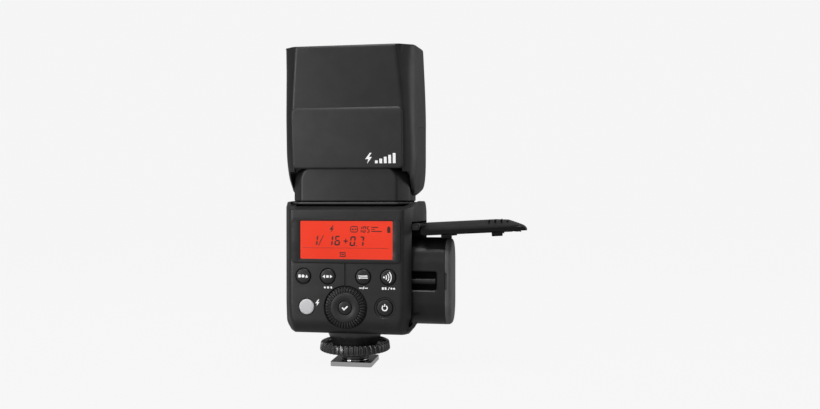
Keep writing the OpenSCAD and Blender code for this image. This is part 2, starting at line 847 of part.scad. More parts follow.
module lens_frame() {
  color([0.08, 0.08, 0.08]) difference() {
    intersection() {
      head_form(0);
      block(-far, far, -far, far, frame_low, far + head_top);
    }
    on_top_face() block(-25.5, 25.5, lens_y[0] - 0.1, lens_y[1] + 0.1, lens_z[0], far);
    block(-24.5, 24.5, -12.6, 16.2, 0, far * 3);
    panel_space(22.4, panel_slot[0] - 0.25, panel_slot[1], 100, 150);
  }
}

module fresnel_lens() {
  groove_count = 9;
  color([0.85, 0.88, 0.9]) difference() {
    on_top_face() block(-25.4, 25.4, lens_y[0], lens_y[1], lens_z[0], lens_z[1]);
    on_top_face() for (k = [0:groove_count - 1])
      block(-24, 24, lens_y[0] + 3 * (k + 1) - 0.6, lens_y[0] + 3 * (k + 1), lens_z[1] - 0.4, 0);
  }
}

module guide_rods() {
  color([0.8, 0.8, 0.8]) for (s = [-1, 1])
    rod_z(rod_r, s * rod_at[0], rod_at[1], slot_top + shelf_t, frame_low);
}

module zoom_motor() {
  color([0.5, 0.5, 0.5]) difference() {
    rod_z(motor_r, screw_at[0], screw_at[1], slot_top + shelf_t, motor_top);
    rod_z(1 + run, screw_at[0], screw_at[1], motor_top - 4, far * 3);
  }
}

module lead_screw() {
  color([0.8, 0.8, 0.8]) difference() {
    rod_z(1, screw_at[0], screw_at[1], motor_top - 3.8, frame_low - 0.4);
    block(screw_at[0] + 0.7, far, -far, far, frame_low - 1, frame_low);
  }
}

module trigger_board() {
  color([0.1, 0.35, 0.2]) block(-20, 20, 16.4, 17.4, 114, 134);
}

module reflector() {
  low = 114.7;
  mouth = frame_low - 0.6 - zoom_travel;
  color([0.85, 0.85, 0.85]) difference() {
    along_x(rounded([[-3.5, low, 2], [7.5, low, 2], [14.6, mouth, 0], [-10.6, mouth, 0]]), -22.3, 22.3);
    along_x(rounded([[-2.9, low + 0.7, 1.5], [6.9, low + 0.7, 1.5],
                     [13.9, mouth + 0.1, 0], [-9.9, mouth + 0.1, 0]]),
            -21.6, 21.6);
    rod_x(1.9, 2, low + 3.2, -far, far);
  }
}

module flash_tube() {
  color([0.9, 0.9, 0.95]) rod_x(1.9, 2, 114.7 + 3.2, -23.2, 23.2);
}

module zoom_carriage() {
  color([0.2, 0.2, 0.2]) difference() {
    union() {
      block(-27.2, 27.2, -3, 7, carriage_low, 114.6);
      block(-22.6, 22.3, -6, 10.5, carriage_low, 114.6);
      for (s = [-1, 1]) block(s * 25.6 - 1.6, s * 25.6 + 1.6, 0.4, 3.6, carriage_low, carriage_low + 6);
      block(-23.2, -22.4, 7.5, 10.5, carriage_low, motor_top + 2.9);
      block(-27.2, -22.4, 7.5, 10.5, motor_top + 0.9, motor_top + 2.9);
    }
    for (s = [-1, 1]) rod_z(rod_r + run, s * rod_at[0], rod_at[1], 0, 3 * far);
    rod_z(1 + run, screw_at[0], screw_at[1], motor_top, 3 * far);
    rod_z(motor_r + 0.3, screw_at[0], screw_at[1], 0, motor_top + 0.3);
  }
}

module wide_panel() {
  color([0.85, 0.87, 0.9]) panel_space(21.8, panel_slot[0], panel_slot[0] + 1.2, 113.6, 139.4);
}

module catchlight_panel() {
  color([0.93, 0.93, 0.93]) panel_space(21.8, panel_slot[0] + 1.5, panel_slot[0] + 2.3, 113.6, 139.4);
}

rear_cover();
front_cover();
lcd_bezel();
lcd_module();
main_board();
capacitors();
transformer();
battery_bay();
bay_contacts();
door_hinge_pin();
sensor_window();
assist_lens();
sync_jack();
usb_port();
body_screws();
foot_base();
shoe_plate();
shoe_screws();
swivel_bush();
neck_rear_cover();
neck_front_cover();
turntable();
tilt_axle();
swivel_clip();
head_rear_cover();
head_front_cover();
cover_plate();
ear_cap_left();
ear_cap_right();
lens_frame();
fresnel_lens();
guide_rods();
zoom_motor();
trigger_board();
head_screws();
reflector();
flash_tube();
zoom_carriage();
lead_screw();
wide_panel();
catchlight_panel();
mode_button();
zoom_button();
sync_button();
slave_button();
test_button();
power_button();
set_button();
select_dial();
locking_ring();
clamp_washer();
lock_pin();
contact_pins();
battery_door();
door_pad();
ejector();
battery_case();
battery_cap();
battery_cells();
port_cover();
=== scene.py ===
"""Looks of a compact hot-shoe flash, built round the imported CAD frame. Shapes are drawn in millimetres."""

import json
from math import atan, atan2, copysign, cos, pi, radians, sin, sqrt, tan

import bmesh
import bpy
from mathutils import Matrix, Vector


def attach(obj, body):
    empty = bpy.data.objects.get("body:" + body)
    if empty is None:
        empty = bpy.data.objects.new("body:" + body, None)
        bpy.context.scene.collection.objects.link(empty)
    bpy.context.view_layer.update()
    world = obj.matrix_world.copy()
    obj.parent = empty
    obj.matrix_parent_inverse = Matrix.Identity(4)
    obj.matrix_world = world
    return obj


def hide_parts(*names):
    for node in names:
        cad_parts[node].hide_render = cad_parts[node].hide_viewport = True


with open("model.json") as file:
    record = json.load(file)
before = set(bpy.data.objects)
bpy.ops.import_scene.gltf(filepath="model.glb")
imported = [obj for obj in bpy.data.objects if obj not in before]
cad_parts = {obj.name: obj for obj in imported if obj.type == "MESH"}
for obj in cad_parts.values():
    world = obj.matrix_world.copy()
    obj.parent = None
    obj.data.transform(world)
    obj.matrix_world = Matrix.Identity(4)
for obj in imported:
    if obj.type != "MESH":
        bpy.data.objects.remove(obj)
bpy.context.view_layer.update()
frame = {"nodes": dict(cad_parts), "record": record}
nodes = frame["nodes"]

MM = 0.001
FAR = 200.0

# Body, in millimetres, as in the CAD
HALF_W = 31.0
REAR = -18.4
FRONT = 19.6
BODY_BOTTOM = 15.4
BODY_TOP = 73.3
REAR_TOP = 69.5
SIDE_BREAK = 24.4
BOTTOM_HALF = 27.4
WALL = 1.6
SEAM_Y = 0.0
AXIS_Y = 1.0
DISH_Z = 71.0
DISH_R = 29.3
OPENING_TOP = 64.4
DOOR_HALF = 12.9
BAY_FACE = 24.0

# Head and neck
HEAD_TOP = 140.0
LEAN = tan(radians(5.82))
HEAD_REAR_AT = (-14.2, 87.0)
HEAD_REAR_TOP = HEAD_REAR_AT[0] - (HEAD_TOP - HEAD_REAR_AT[1]) * LEAN
TILT_Z = 92.5
EAR_R = 17.4
EAR_IN = 26.8
EAR_WALL_X = 27.4
EAR_CAP_X = 28.3
SLOT_TOP = 111.5
BARREL_R = 14.8
NECK_BOTTOM = 73.3
NECK_SHOULDER = 81.7
NECK_ROUND = (4.4, 6.2)
PLATE = (-24.5, 24.5, 87.5, 113.8)
FRAME_LOW = 136.6
LENS_Y = (6.1, 36.8)

# Control panel
SCREEN = (-24.2, 24.2, 46.5, 66.0)
LCD = (-20.0, 20.6, 48.4, 64.8)
BUTTON_Z = 40.9
BUTTONS = {"mode": -18.7, "zoom": -7.8, "sync": 7.8, "slave": 18.7}
BUTTON_R = 3.2
TEST_AT = (-17.2, 27.6)
POWER_AT = (17.2, 27.8)
TEST_R = 3.3
POWER_R = 3.6
DIAL_Z = 27.5
DIAL_R = 9.0
SET_R = 3.0
KEY_PROUD = 0.5
POWER_PROUD = 0.1
SET_PROUD = 1.1
LABEL_Z = 36.1
DIAL_RIBS = 40

# Battery and door, as they stand at rest
BATT_Z = 37.9
BATT_HALF = 8.4
BATT_R = 10.9
BATT_OUT = 17.9
BATT_HOME = 25.8
BATT_LEN = 49.2
HINGE = (30.0, 62.3)
DOOR_OPEN = radians(93)
DOOR_TUCK_FROM = -12.4

# Foot
RING_Z = (6.1, 10.2)
SPINDLE_R = 6.25
SHOE_TOP = 2.1
RING_NOTCHES = 44

# Studio: how light the paper looks, and how much of its light falls on the object
PAPER = 0.915
FLOOR_Z = -0.62
FLOOR_LIGHT = 0.27
# How bright the room is, from behind the camera (0) to the backdrop (1)
ROOM_STOPS = [(0.0, 0.78), (0.06, 0.64), (0.15, 0.27), (0.28, 0.07), (0.6, 0.07), (0.78, 0.12), (0.9, 0.45),
              (0.96, 0.22), (1.0, 0.13)]
# Name, place, target, width, height and power, in metres and watts
LAMPS = [
    ("left_strip", (-0.42, -0.44, 0.22), (0, 0, 0.07), 0.09, 0.5, 1.5),
    ("right_panel", (0.52, 0.19, 0.10), (0, 0, 0.07), 0.28, 0.5, 0.7),
    ("low_left", (-0.21, -0.33, 0.03), (0, -0.015, 0.05), 0.03, 0.06, 0.11),
    ("top_soft", (0.0, -0.18, 0.62), (0, 0, 0.08), 0.35, 0.35, 2.2),
]
CAMERA_AT = (0.0765, -0.3262, 0.07415)
CAMERA_TARGET = (0.02519, 0, 0.07176)


# ---------------------------------------------------------------- outlines and meshes


def rounded(corners, steps=6):
    """Rounds the corners [x, y, radius] of a closed outline, and never takes more than 0.46 of an edge."""
    points = []
    n = len(corners)
    for i, (x, y, r) in enumerate(corners):
        p = Vector((x, y))
        a = Vector(corners[i - 1][:2]) - p
        c = Vector(corners[(i + 1) % n][:2]) - p
        half = a.angle(c, pi) / 2
        reach = min(r / tan(half), 0.46 * a.length, 0.46 * c.length) if half < 1.56 else 0.0
        if reach < 1e-4:
            points += [(x, y)] * (steps + 1)
            continue
        r = reach * tan(half)
        middle = p + (a.normalized() + c.normalized()).normalized() * r / sin(half)
        start = p + a.normalized() * reach - middle
        end = p + c.normalized() * reach - middle
        turn = atan2(start.x * end.y - start.y * end.x, start.dot(end))
        for k in range(steps + 1):
            t = turn * k / steps
            points.append((
                middle.x + start.x * cos(t) - start.y * sin(t),
                middle.y + start.x * sin(t) + start.y * cos(t),
            ))
    return points


def rect(x0, x1, y0, y1, r, steps=6):
    return rounded([(x0, y0, r), (x1, y0, r), (x1, y1, r), (x0, y1, r)], steps)


def around(box, grow, r):
    """A rounded rectangle that stands off a box of (x0, x1, y0, y1) by grow."""
    return rect(box[0] - grow, box[1] + grow, box[2] - grow, box[3] + grow, r)


def both_sides(right, steps):
    """A closed outline from the corners of its right half, mirrored for the left."""
    return rounded(right + [(-x, y, r) for x, y, r in reversed(right)], steps)


def disc(x, y, r, count=24):
    angles = [2 * pi * k / count for k in range(count)]
    return [(x + r * cos(t), y + r * sin(t)) for t in angles]


def span(low, high, count):
    return [low + (high - low) * k / count for k in range(count + 1)]


def quarter(steps, first=0):
    """The angles that divide a quarter turn into steps."""
    return [pi / 2 * k / steps for k in range(first, steps + 1)]


def clamp(value):
    return max(0.0, min(1.0, value))


def linked(name, data):
    """Puts a mesh, lamp or camera in the scene."""
    obj = bpy.data.objects.new(name, data)
    bpy.context.scene.collection.objects.link(obj)
    return obj


def make_object(name, verts, faces):
    """A mesh object from millimetre points, with its normals facing out."""
    mesh = bpy.data.meshes.new(name)
    mesh.from_pydata([tuple(c * MM for c in v) for v in verts], [], faces)
    bm = bmesh.new()
    bm.from_mesh(mesh)
    bmesh.ops.remove_doubles(bm, verts=bm.verts, dist=1e-7)
    bmesh.ops.dissolve_degenerate(bm, edges=bm.edges, dist=1e-8)
    bmesh.ops.recalc_face_normals(bm, faces=bm.faces)
    bm.to_mesh(mesh)
    bm.free()
    return linked(name, mesh)


def loft(name, rings, closed=False):
    """Joins rings of the same number of points. Open lofts get a face at each end."""
    n = len(rings[0])
    verts = [p for ring in rings for p in ring]
    spans = len(rings) if closed else len(rings) - 1
    faces = []
    for k in range(spans):
        a = k * n
        b = ((k + 1) % len(rings)) * n
        faces += [(a + i, a + (i + 1) % n, b + (i + 1) % n, b + i) for i in range(n)]
    if not closed:
        faces.append(tuple(reversed(range(n))))
        faces.append(tuple(range((len(rings) - 1) * n, len(rings) * n)))
    return make_object(name, verts, faces)


def lifted(outline, axis, at):
    """Puts a flat outline on the plane where the given axis, "x", "y" or "z", has the value at."""
    if axis == "x":
        return [(at, a, b) for a, b in outline]
    if axis == "y":
        return [(a, at, b) for a, b in outline]
    return [(a, b, at) for a, b in outline]


def prism(name, outline, axis, low, high):
    return loft(name, [lifted(outline, axis, low), lifted(outline, axis, high)])


def box_cutter(x0, x1, y0, y1, z0, z1):
    return prism("cut", rect(x0, x1, y0, y1, 0, 1), "z", z0, z1)


def soft_prism(name, shape, axis, low, high, edge, ends=(True, True)):
    """A prism with rounded end edges. shape(inset) gives its outline drawn in by that much."""
    rings = []
    for t in quarter(3) if ends[0] else [pi / 2]:
        rings.append(lifted(shape(edge * (1 - sin(t))), axis, low + edge * (1 - cos(t)) * ends[0]))
    for t in quarter(3) if ends[1] else [0]:
        rings.append(lifted(shape(edge * (1 - cos(t))), axis, high - edge * (1 - sin(t)) * ends[1]))
    return loft(name, rings)


def soft_box(name, x, y, z, edge, axis="z"):
    """A box with every edge rounded; x, y and z are (low, high)."""
    first, second, along = {"x": (y, z, x), "y": (x, z, y), "z": (x, y, z)}[axis]

    def shape(inset):
        return rect(first[0] + inset, first[1] - inset, second[0] + inset, second[1] - inset, edge, 3)

    return soft_prism(name, shape, axis, along[0], along[1], edge)


def revolve(name, profile, at, axis, count=96):
    """Turns a profile of (radius, height) points about an axis through at, and closes it at radius 0."""
    rings = []
    for k in range(count):
        t = 2 * pi * k / count
        ring = []
        for r, h in profile:
            a = r * cos(t)
            b = r * sin(t)
            reach = {"x": (h, a, b), "y": (a, h, b), "z": (a, b, h)}[axis]
            ring.append(tuple(base + step for base, step in zip(at, reach)))
        rings.append(ring)
    obj = loft(name, rings, closed=True)
    bm = bmesh.new()
    bm.from_mesh(obj.data)
    bmesh.ops.remove_doubles(bm, verts=bm.verts, dist=1e-8)
    bmesh.ops.delete(bm, geom=[e for e in bm.edges if not e.link_faces], context="EDGES")
    bm.to_mesh(obj.data)
    bm.free()
    return obj


def drill(r, low, high, at, axis, count=48):
    """A plain round cutter."""
    return revolve("cut", [(0, low), (r, low), (r, high), (0, high)], at, axis, count)


def evaluated(obj):
    """Bakes an object's modifiers into its mesh."""
    graph = bpy.context.evaluated_depsgraph_get()
    mesh = bpy.data.meshes.new_from_object(obj.evaluated_get(graph))
    obj.modifiers.clear()
    old = obj.data
    obj.data = mesh
    bpy.data.meshes.remove(old)
    return obj


def carve(obj, cutters, operation="DIFFERENCE", keep=False):
    """Cuts an object with others, one after another, and removes those unless keep is set."""
    for cutter in cutters:
        mod = obj.modifiers.new("cut", "BOOLEAN")
        mod.operation = operation
        mod.solver = "EXACT"
        mod.object = cutter
        evaluated(obj)
        if not keep:
            bpy.data.objects.remove(cutter)
    return obj


def copy_of(obj, name):
    twin = obj.copy()
    twin.data = obj.data.copy()
    twin.name = name
    bpy.context.scene.collection.objects.link(twin)
    return twin


def joined(name, parts):
    """One object from several, each part staying its own closed solid."""
    bm = bmesh.new()
    for part in parts:
        bm.from_mesh(part.data)
        bpy.data.objects.remove(part)
    mesh = bpy.data.meshes.new(name)
    bm.to_mesh(mesh)
    bm.free()
    return linked(name, mesh)


def round_edges(obj, width, angle):
    """Rounds the edges that are sharper than an angle in degrees."""
    mod = obj.modifiers.new("edge", "BEVEL")
    mod.width = width * MM
    mod.segments = 2
    mod.limit_method = "ANGLE"
    mod.angle_limit = radians(angle)
    mod.harden_normals = True
    return mod


def place(obj, body, look, replaces=None):
    """Gives a piece its material and the body that it rides on."""
    obj.data.materials.clear()
    obj.data.materials.append(M[look])
    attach(obj, body)
    if replaces:
        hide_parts(replaces)
    return obj


def finish(obj, body, look, replaces=None, bevel=0.0, angle=38.0):
    """Shades a piece smooth, sharp over the angle, with its sharp edges rounded by bevel, and places it."""
    mesh = obj.data
    mesh.polygons.foreach_set("use_smooth", [True] * len(mesh.polygons))
    mesh.set_sharp_from_angle(angle=radians(angle))
    if bevel:
        round_edges(obj, bevel, angle).miter_outer = "MITER_ARC"
    return place(obj, body, look, replaces)


# ---------------------------------------------------------------- materials


class Shader:
    """A small builder for procedural materials on object coordinates."""

    def __init__(self, name):
        self.material = bpy.data.materials.new(name)
        self.material.use_nodes = True
        self.tree = self.material.node_tree
        self.bsdf = self.tree.nodes["Principled BSDF"]
        self.coords = self.node("TexCoord").outputs["Object"]

    def node(self, kind, **values):
        """Adds a node and sets its inputs."""
        node = self.tree.nodes.new("ShaderNode" + kind)
        for key, value in values.items():
            node.inputs[key.replace("_", " ")].default_value = value
        return node

    def link(self, a, b):
        self.tree.links.new(a, b)

    def noise(self, scale, detail=3.0, roughness=0.55, coords=None):
        node = self.node("TexNoise", Scale=scale, Detail=detail, Roughness=roughness)
        self.link(coords or self.coords, node.inputs["Vector"])
        return node.outputs["Fac"]

    def stretched(self, scale):
        node = self.node("Mapping", Scale=scale)
        self.link(self.coords, node.inputs["Vector"])
        return node.outputs["Vector"]

    def over(self, vector, limit):
        """1 where a vector's Z is over the limit."""
        height = self.node("SeparateXYZ")
        self.link(vector, height.inputs[0])
        test = self.node("Math")
        test.operation = "GREATER_THAN"
        test.inputs[1].default_value = limit
        self.link(height.outputs["Z"], test.inputs[0])
        return test.outputs[0]

    def colour(self, value, low, high, from_low=0.35, from_high=0.65):
        node = self.node("ValToRGB")
        for element, position, colour in zip(node.color_ramp.elements, (from_low, from_high), (low, high)):
            element.position = position
            element.color = (*colour, 1)
        self.link(value, node.inputs["Fac"])
        self.link(node.outputs["Color"], self.bsdf.inputs["Base Color"])
        return node.outputs["Color"]

    def rough(self, value, low, high):
        """Spreads the middle of a noise over a range of roughness."""
        node = self.node("MapRange", From_Min=0.3, From_Max=0.7, To_Min=low, To_Max=high)
        self.link(value, node.inputs["Value"])
        self.link(node.outputs["Result"], self.bsdf.inputs["Roughness"])

    def bump(self, value, strength, distance):
        node = self.node("Bump", Strength=strength, Distance=distance * MM)
        self.link(value, node.inputs["Height"])
        if self.bsdf.inputs["Normal"].is_linked:
            self.link(self.bsdf.inputs["Normal"].links[0].from_socket, node.inputs["Normal"])
        self.link(node.outputs["Normal"], self.bsdf.inputs["Normal"])

    def set(self, **values):
        for key, value in values.items():
            self.bsdf.inputs[key.replace("_", " ")].default_value = value


def grey(value, tint=0.0):
    return (value, value, value * (1 + tint))


def moulded(name, low, high, rough=(0.46, 0.58), grain=0.35, specular=0.45):
    """Moulded plastic with a fine spark-eroded grain and slight unevenness."""
    s = Shader(name)
    s.colour(s.noise(160, 4), grey(low, 0.03), grey(high, 0.03))
    s.rough(s.noise(90, 3), *rough)
    s.bump(s.noise(5200, 2, 0.6), grain, 0.02)
    s.bump(s.noise(55, 2), 0.08, 0.3)
    s.set(Specular_IOR_Level=specular)
    return s.material


def glossy(name, colour, rough=0.08, coat=0.3):
    """Polished plastic with faint wipe marks in its gloss."""
    s = Shader(name)
    s.colour(s.noise(120, 2), tuple(c * 0.85 for c in colour), colour)
    s.rough(s.noise(60, 4, 0.6, s.stretched((1, 1, 3))), rough, rough * 2.2)
    s.bump(s.noise(400, 2), 0.02, 0.05)
    s.set(Coat_Weight=coat, Coat_Roughness=0.05)
    return s.material


def metal(name, colour, rough=(0.22, 0.38), stretch=(1, 1, 30)):
    """Brushed or turned metal."""
    s = Shader(name)
    lines = s.noise(900, 3, 0.6, s.stretched(stretch))
    s.colour(lines, tuple(c * 0.8 for c in colour), colour)
    s.rough(lines, *rough)
    s.bump(lines, 0.12, 0.02)
    s.set(Metallic=1.0)
    return s.material


def clear(name, tint, rough, alpha):
    """Clear moulded plastic, light enough to see through in thin walls."""
    s = Shader(name)
    s.colour(s.noise(200, 2), tuple(c * 0.95 for c in tint), tint)
    s.rough(s.noise(300, 2), rough, rough * 1.6)
    s.set(Transmission_Weight=0.9, IOR=1.49, Alpha=alpha)
    return s.material


def backlit(name, low, high, strength):
    """A backlit display: its own light, a little uneven, under a polished window."""
    s = Shader(name)
    light = s.colour(s.noise(26, 2), low, high, 0.2, 0.8)
    s.link(light, s.bsdf.inputs["Emission Color"])
    s.rough(s.noise(70, 2), 0.12, 0.2)
    s.set(Emission_Strength=strength, Specular_IOR_Level=0.2)
    return s.material


def printed(name, low, high, rough=0.45, glow=0.0):
    """Pad-printed ink with slightly uneven cover, and an optional glow in its own colour that paints light
    onto it.
    """
    s = Shader(name)
    s.colour(s.noise(700, 3), low, high)
    s.rough(s.noise(900, 2), rough, rough + 0.15)
    s.bsdf.inputs["Emission Color"].default_value = (*high, 1)
    s.set(Emission_Strength=glow)
    return s.material


def shoe_metal():
    """Ground metal at the edges; its upward faces are painted near-black as a painted reflection of the dark
    ring above, and so is everything above the plate's top.
    """
    s = Shader("shoe_metal_painted_dark")
    lines = s.noise(900, 3, 0.6, s.stretched((1, 30, 1)))
    shape = s.node("NewGeometry").outputs
    # Mask for the painted dark: upward faces (painted reflection of the ring) and all above the plate's top
    painted_dark = s.node("Math")
    painted_dark.operation = "MAXIMUM"
    s.link(s.over(shape["True Normal"], 0.6), painted_dark.inputs[0])
    s.link(s.over(shape["Position"], SHOE_TOP * MM), painted_dark.inputs[1])
    s.colour(painted_dark.outputs[0], grey(0.96), grey(0.03))
    s.rough(lines, 0.12, 0.2)
    s.bump(lines, 0.05, 0.02)
    s.set(Metallic=1.0)
    return s.material


M = {
    "shell": moulded("shell_plastic", 0.016, 0.020, (0.36, 0.46)),
    "plate": moulded("cover_plate_plastic", 0.023, 0.028, (0.42, 0.52)),
    # Near-black plastic that paints shade: used for pieces set where shade falls in gaps and recesses
    "painted_shade": moulded("painted_shade_black", 0.002, 0.003, (0.8, 0.9), 0.1, 0.05),
    # The turntable: a lighter grey than the shell, which paints the light on its rim strip
    "flange": moulded("flange_painted_light_plastic", 0.05, 0.06, (0.4, 0.5), 0.2),
    "dark": moulded("dark_plastic", 0.014, 0.020, (0.4, 0.5), 0.2),
    "door": moulded("door_plastic", 0.003, 0.005, (0.34, 0.44), 0.25, 0.2),
    "battery": moulded("battery_plastic", 0.009, 0.013, (0.30, 0.40), 0.15),
    # The battery's end cap: a lighter grey than the case, which paints the light falling on it
    "battery_end_painted_light": moulded("battery_end_plastic", 0.10, 0.12, (0.42, 0.52), 0.25),
    "key": moulded("key_plastic", 0.012, 0.017, (0.34, 0.44), 0.15),
    "light_key": moulded("light_key_plastic", 0.66, 0.72, (0.42, 0.52), 0.15),
    "ring": moulded("ring_plastic", 0.022, 0.030, (0.20, 0.28), 0.1, 1.0),
    "gloss": glossy("bezel_gloss", grey(0.006), 0.3, 0.0),
    "red_window": glossy("red_window_gloss", (0.06, 0.003, 0.005)),
    "lcd": backlit("lcd_light", (0.72, 0.040, 0.018), (0.82, 0.055, 0.026), 0.355),
    "segment": printed("lcd_segment", (0.05, 0.008, 0.006), (0.08, 0.012, 0.008), 0.3),
    "rule": printed("lcd_rule", (0.30, 0.02, 0.012), (0.34, 0.03, 0.014), 0.3),
    # White print that also glows faintly: the glow paints light onto the marks
    "ink": printed("white_ink", grey(0.78), grey(0.86), 0.45, 0.35),
    "steel": metal("steel_turned", grey(0.55, 0.03)),
    "shoe": shoe_metal(),
    "gold": metal("contact_gold", (0.8, 0.58, 0.25), (0.15, 0.25)),
    "mirror": metal("mirror_tray", grey(0.9), (0.05, 0.12)),
    "board": glossy("solder_mask", (0.015, 0.09, 0.04), 0.25),
    "sleeve": glossy("capacitor_sleeve", (0.02, 0.025, 0.06), 0.2),
    "cell": glossy("cell_wrap", (0.06, 0.14, 0.28), 0.25),
    "clear": clear("clear_prism", (0.93, 0.95, 0.96), 0.06, 0.55),
    "diffuser": clear("diffuser_clear", (0.9, 0.92, 0.93), 0.25, 0.8),
    "white": moulded("white_card", 0.72, 0.8, (0.45, 0.6), 0.1),
    "rubber": moulded("rubber_black", 0.02, 0.028, (0.65, 0.8), 0.4, 0.3),
}
# The material slots of the CAD whose look has another name
SLOT_LOOK = {
    "dark_plastic": "dark", "gloss_black": "gloss", "shoe_metal": "shoe", "contact_gold": "gold",
    "bush": "gold", "grey_button": "light_key", "clear_lens": "clear", "white_panel": "white",
    "mirror_tray": "mirror",
}


# ---------------------------------------------------------------- shells


def plan(half_w, rear, front, corner_r, front_r, inset=0.0, slope=0.61):
    """The outline shared by body and head: flat rear, two facets on each side, round front corners."""
    facet_y = max(-12.0, rear + 4.5 - 0.6 * inset) + 0.366 * inset
    facet_x = 28.7 - 0.948 * inset + 0.19 * (facet_y + 12.0)
    flat = min(facet_x - (facet_y - rear) * slope, half_w - 0.25)
    near_x = min(half_w, facet_x)
    near_y = facet_y - (facet_x - near_x) / slope
    side_y = facet_y + (max(half_w, facet_x) - facet_x) / (HALF_W - facet_x) * -facet_y
    near_y = min(max(near_y, rear + 0.25), front - 0.6)
    side_y = min(max(side_y, near_y + 0.25), front - 0.3)
    return both_sides([(flat, rear, corner_r), (near_x, near_y, 16), (half_w, side_y, 60),
                       (half_w, front, front_r)], 7)


def arc_drop(distance, radius):
    """How far a quarter-round of that radius has dropped at a distance inside its end."""
    inside = max(0.0, radius - distance)
    return radius - sqrt(max(0.0, radius * radius - inside * inside))


def body_solid(name, inset, tuck_from=-8.8):
    """The body's whole form, drawn in by inset; its low corners are tucked in behind Y = tuck_from."""
    low = BODY_BOTTOM + inset
    top = BODY_TOP - inset
    roll = 6.5 - inset
    crown = 7.6 - inset
    slope_z = REAR_TOP - inset
    levels = [low + roll * (1 - cos(t)) for t in quarter(9)]
    levels += span(low + roll + 1.5, slope_z - 1.2, 8)
    levels += [slope_z + d for d in (-0.7, -0.35, 0, 0.35, 0.8, 1.6, 2.6)]
    levels += [top - 0.35, top - 0.1, top]
    rings = []
    for z in sorted(levels):
        above = z - low
        over = max(0.0, z - slope_z + 0.35)
        rear = REAR + inset + arc_drop(above, roll) + min(over, 0.7) ** 2 * 0.9 + max(0.0, over - 0.7) * 1.68
        front = FRONT - inset - arc_drop(above, 6 - inset) - arc_drop(top - z, crown)
        side = (z - low) / (SIDE_BREAK - BODY_BOTTOM)
        half_w = HALF_W - inset
        if side < 1.15:
            corner = BOTTOM_HALF - 0.55 * inset + (HALF_W - BOTTOM_HALF - 0.45 * inset) * side
            half_w = min(half_w, corner) - max(0.0, 0.22 - abs(side - 1)) ** 2 * 3.4
            half_w -= max(0.0, 1.6 - above) ** 2 * 0.35
        edge = max(0.0, 0.6 - (top - z)) ** 2 * 0.9
        drop = 1.7 * clamp((z - REAR_TOP) / (BODY_TOP - REAR_TOP))
        tuck = 2.8 * max(0.0, 1 - side)
        ring = []
        for x, y in plan(half_w - edge, rear + edge, front - edge, 2.6, 7 - inset, inset):
            x -= copysign(tuck * clamp((tuck_from - y) / 4.4), x)
            ring.append((x, y, z - drop * clamp((6 - y) / 16) * (1 - 0.65 * clamp(abs(x) / 3 - 8.4))))
        rings.append(ring)
    return loft(name, rings)


def body_dish(inset):
    """The round recess in the body's top, under the turntable."""
    r = DISH_R + inset
    z = DISH_Z - inset
    return revolve("dish", [(0, z), (r - 0.6, z), (r, z + 0.6), (r, 90), (0, 90)], (0, AXIS_Y, 0), "z", 128)


def head_solid(name, inset):
    """The head's whole form with its two ears still joined, drawn in by inset."""
    low = TILT_Z - EAR_R + inset
    top = HEAD_TOP - inset
    ear = EAR_R - inset
    levels = [TILT_Z - ear * cos(t) for t in quarter(14)]
    levels += span(TILT_Z + 2, 108, 7) + span(110, 124, 7) + span(126, top - 1.6, 5)
    levels += [top - 1.2, top - 0.8, top - 0.45, top - 0.2, top - 0.05, top]
    rings = []
    for z in levels:
        depth = sqrt(max(0.0, ear * ear - max(0.0, TILT_Z - z) ** 2))
        flare = clamp((z - 100) / 25)
        flare = 1.6 * flare * flare * (3 - 2 * flare)
        front = AXIS_Y + depth + flare if z <= TILT_Z else 18.4 - inset + flare
        front = max(front, AXIS_Y + 0.6)
        rear = HEAD_REAR_AT[0] - (z - HEAD_REAR_AT[1]) * LEAN + inset
        rear = min(max(rear, AXIS_Y - depth) if z < TILT_Z else rear, AXIS_Y - 0.6)
        taper = 1.1 * (max(0.0, z - 108) / 30) ** 1.5
        rim = max(0.0, 1.2 - (top - z))
        edge = 1.2 - sqrt(max(0.0, 1.44 - rim * rim))
        half_w = HALF_W - inset - taper - arc_drop(z - low, 4.6 - inset * 0.5) - edge
        squeeze = 3.4 * clamp((96 - z) / 22) ** 2
        rise = clamp((z - 112) / 24)
        rise = LEAN * rise * rise * (3 - 2 * rise)
        ring = []
        for x, y in plan(half_w, rear + edge, front - edge, 2.8, min(11 - inset, depth * 0.7), inset, 0.9):
            x -= copysign(squeeze * clamp((12 - y) / 14), x)
            ring.append((x, y, z + (y - HEAD_REAR_TOP) * rise))
        rings.append(ring)
    return loft(name, rings)


def neck_solid(name, inset):
    """The neck's block below, drawn in by a round shoulder to the barrel of the tilt joint above."""
    low = NECK_BOTTOM + inset
    barrel = BARREL_R - inset
    shoulder_w, shoulder_h = NECK_ROUND
    levels = [low + d for d in (0, 0.1, 0.3)] + span(low + 1, NECK_SHOULDER, 4)
    levels += [NECK_SHOULDER + shoulder_h * sin(t) for t in quarter(12, 1)] + [90, TILT_Z]
    levels += [TILT_Z + barrel * sin(t) for t in quarter(14, 1)]
    rings = []
    for z in levels:
        t = clamp((z - NECK_SHOULDER) / shoulder_h)
        edge = max(0.0, 0.3 - (z - NECK_BOTTOM - inset))
        half_w = 26.3 - inset - shoulder_w * (1 - sqrt(1 - t * t)) - edge
        depth = max(0.4, sqrt(max(0.0, barrel * barrel - max(0.0, z - TILT_Z) ** 2))) - edge
        slant = min(5.0, half_w * 0.3)
        near = min(6.5, depth * 0.9)
        outline = both_sides([
            (half_w - slant, AXIS_Y - depth, 2.2), (half_w, AXIS_Y - depth + near, 2.5),
            (half_w, AXIS_Y + depth - near * 0.8, 2.5), (half_w - slant, AXIS_Y + depth, 2.2)], 5)
        rings.append([(x, y, min(z, TILT_Z + BARREL_R - inset)) for x, y in outline])
    return loft(name, rings)


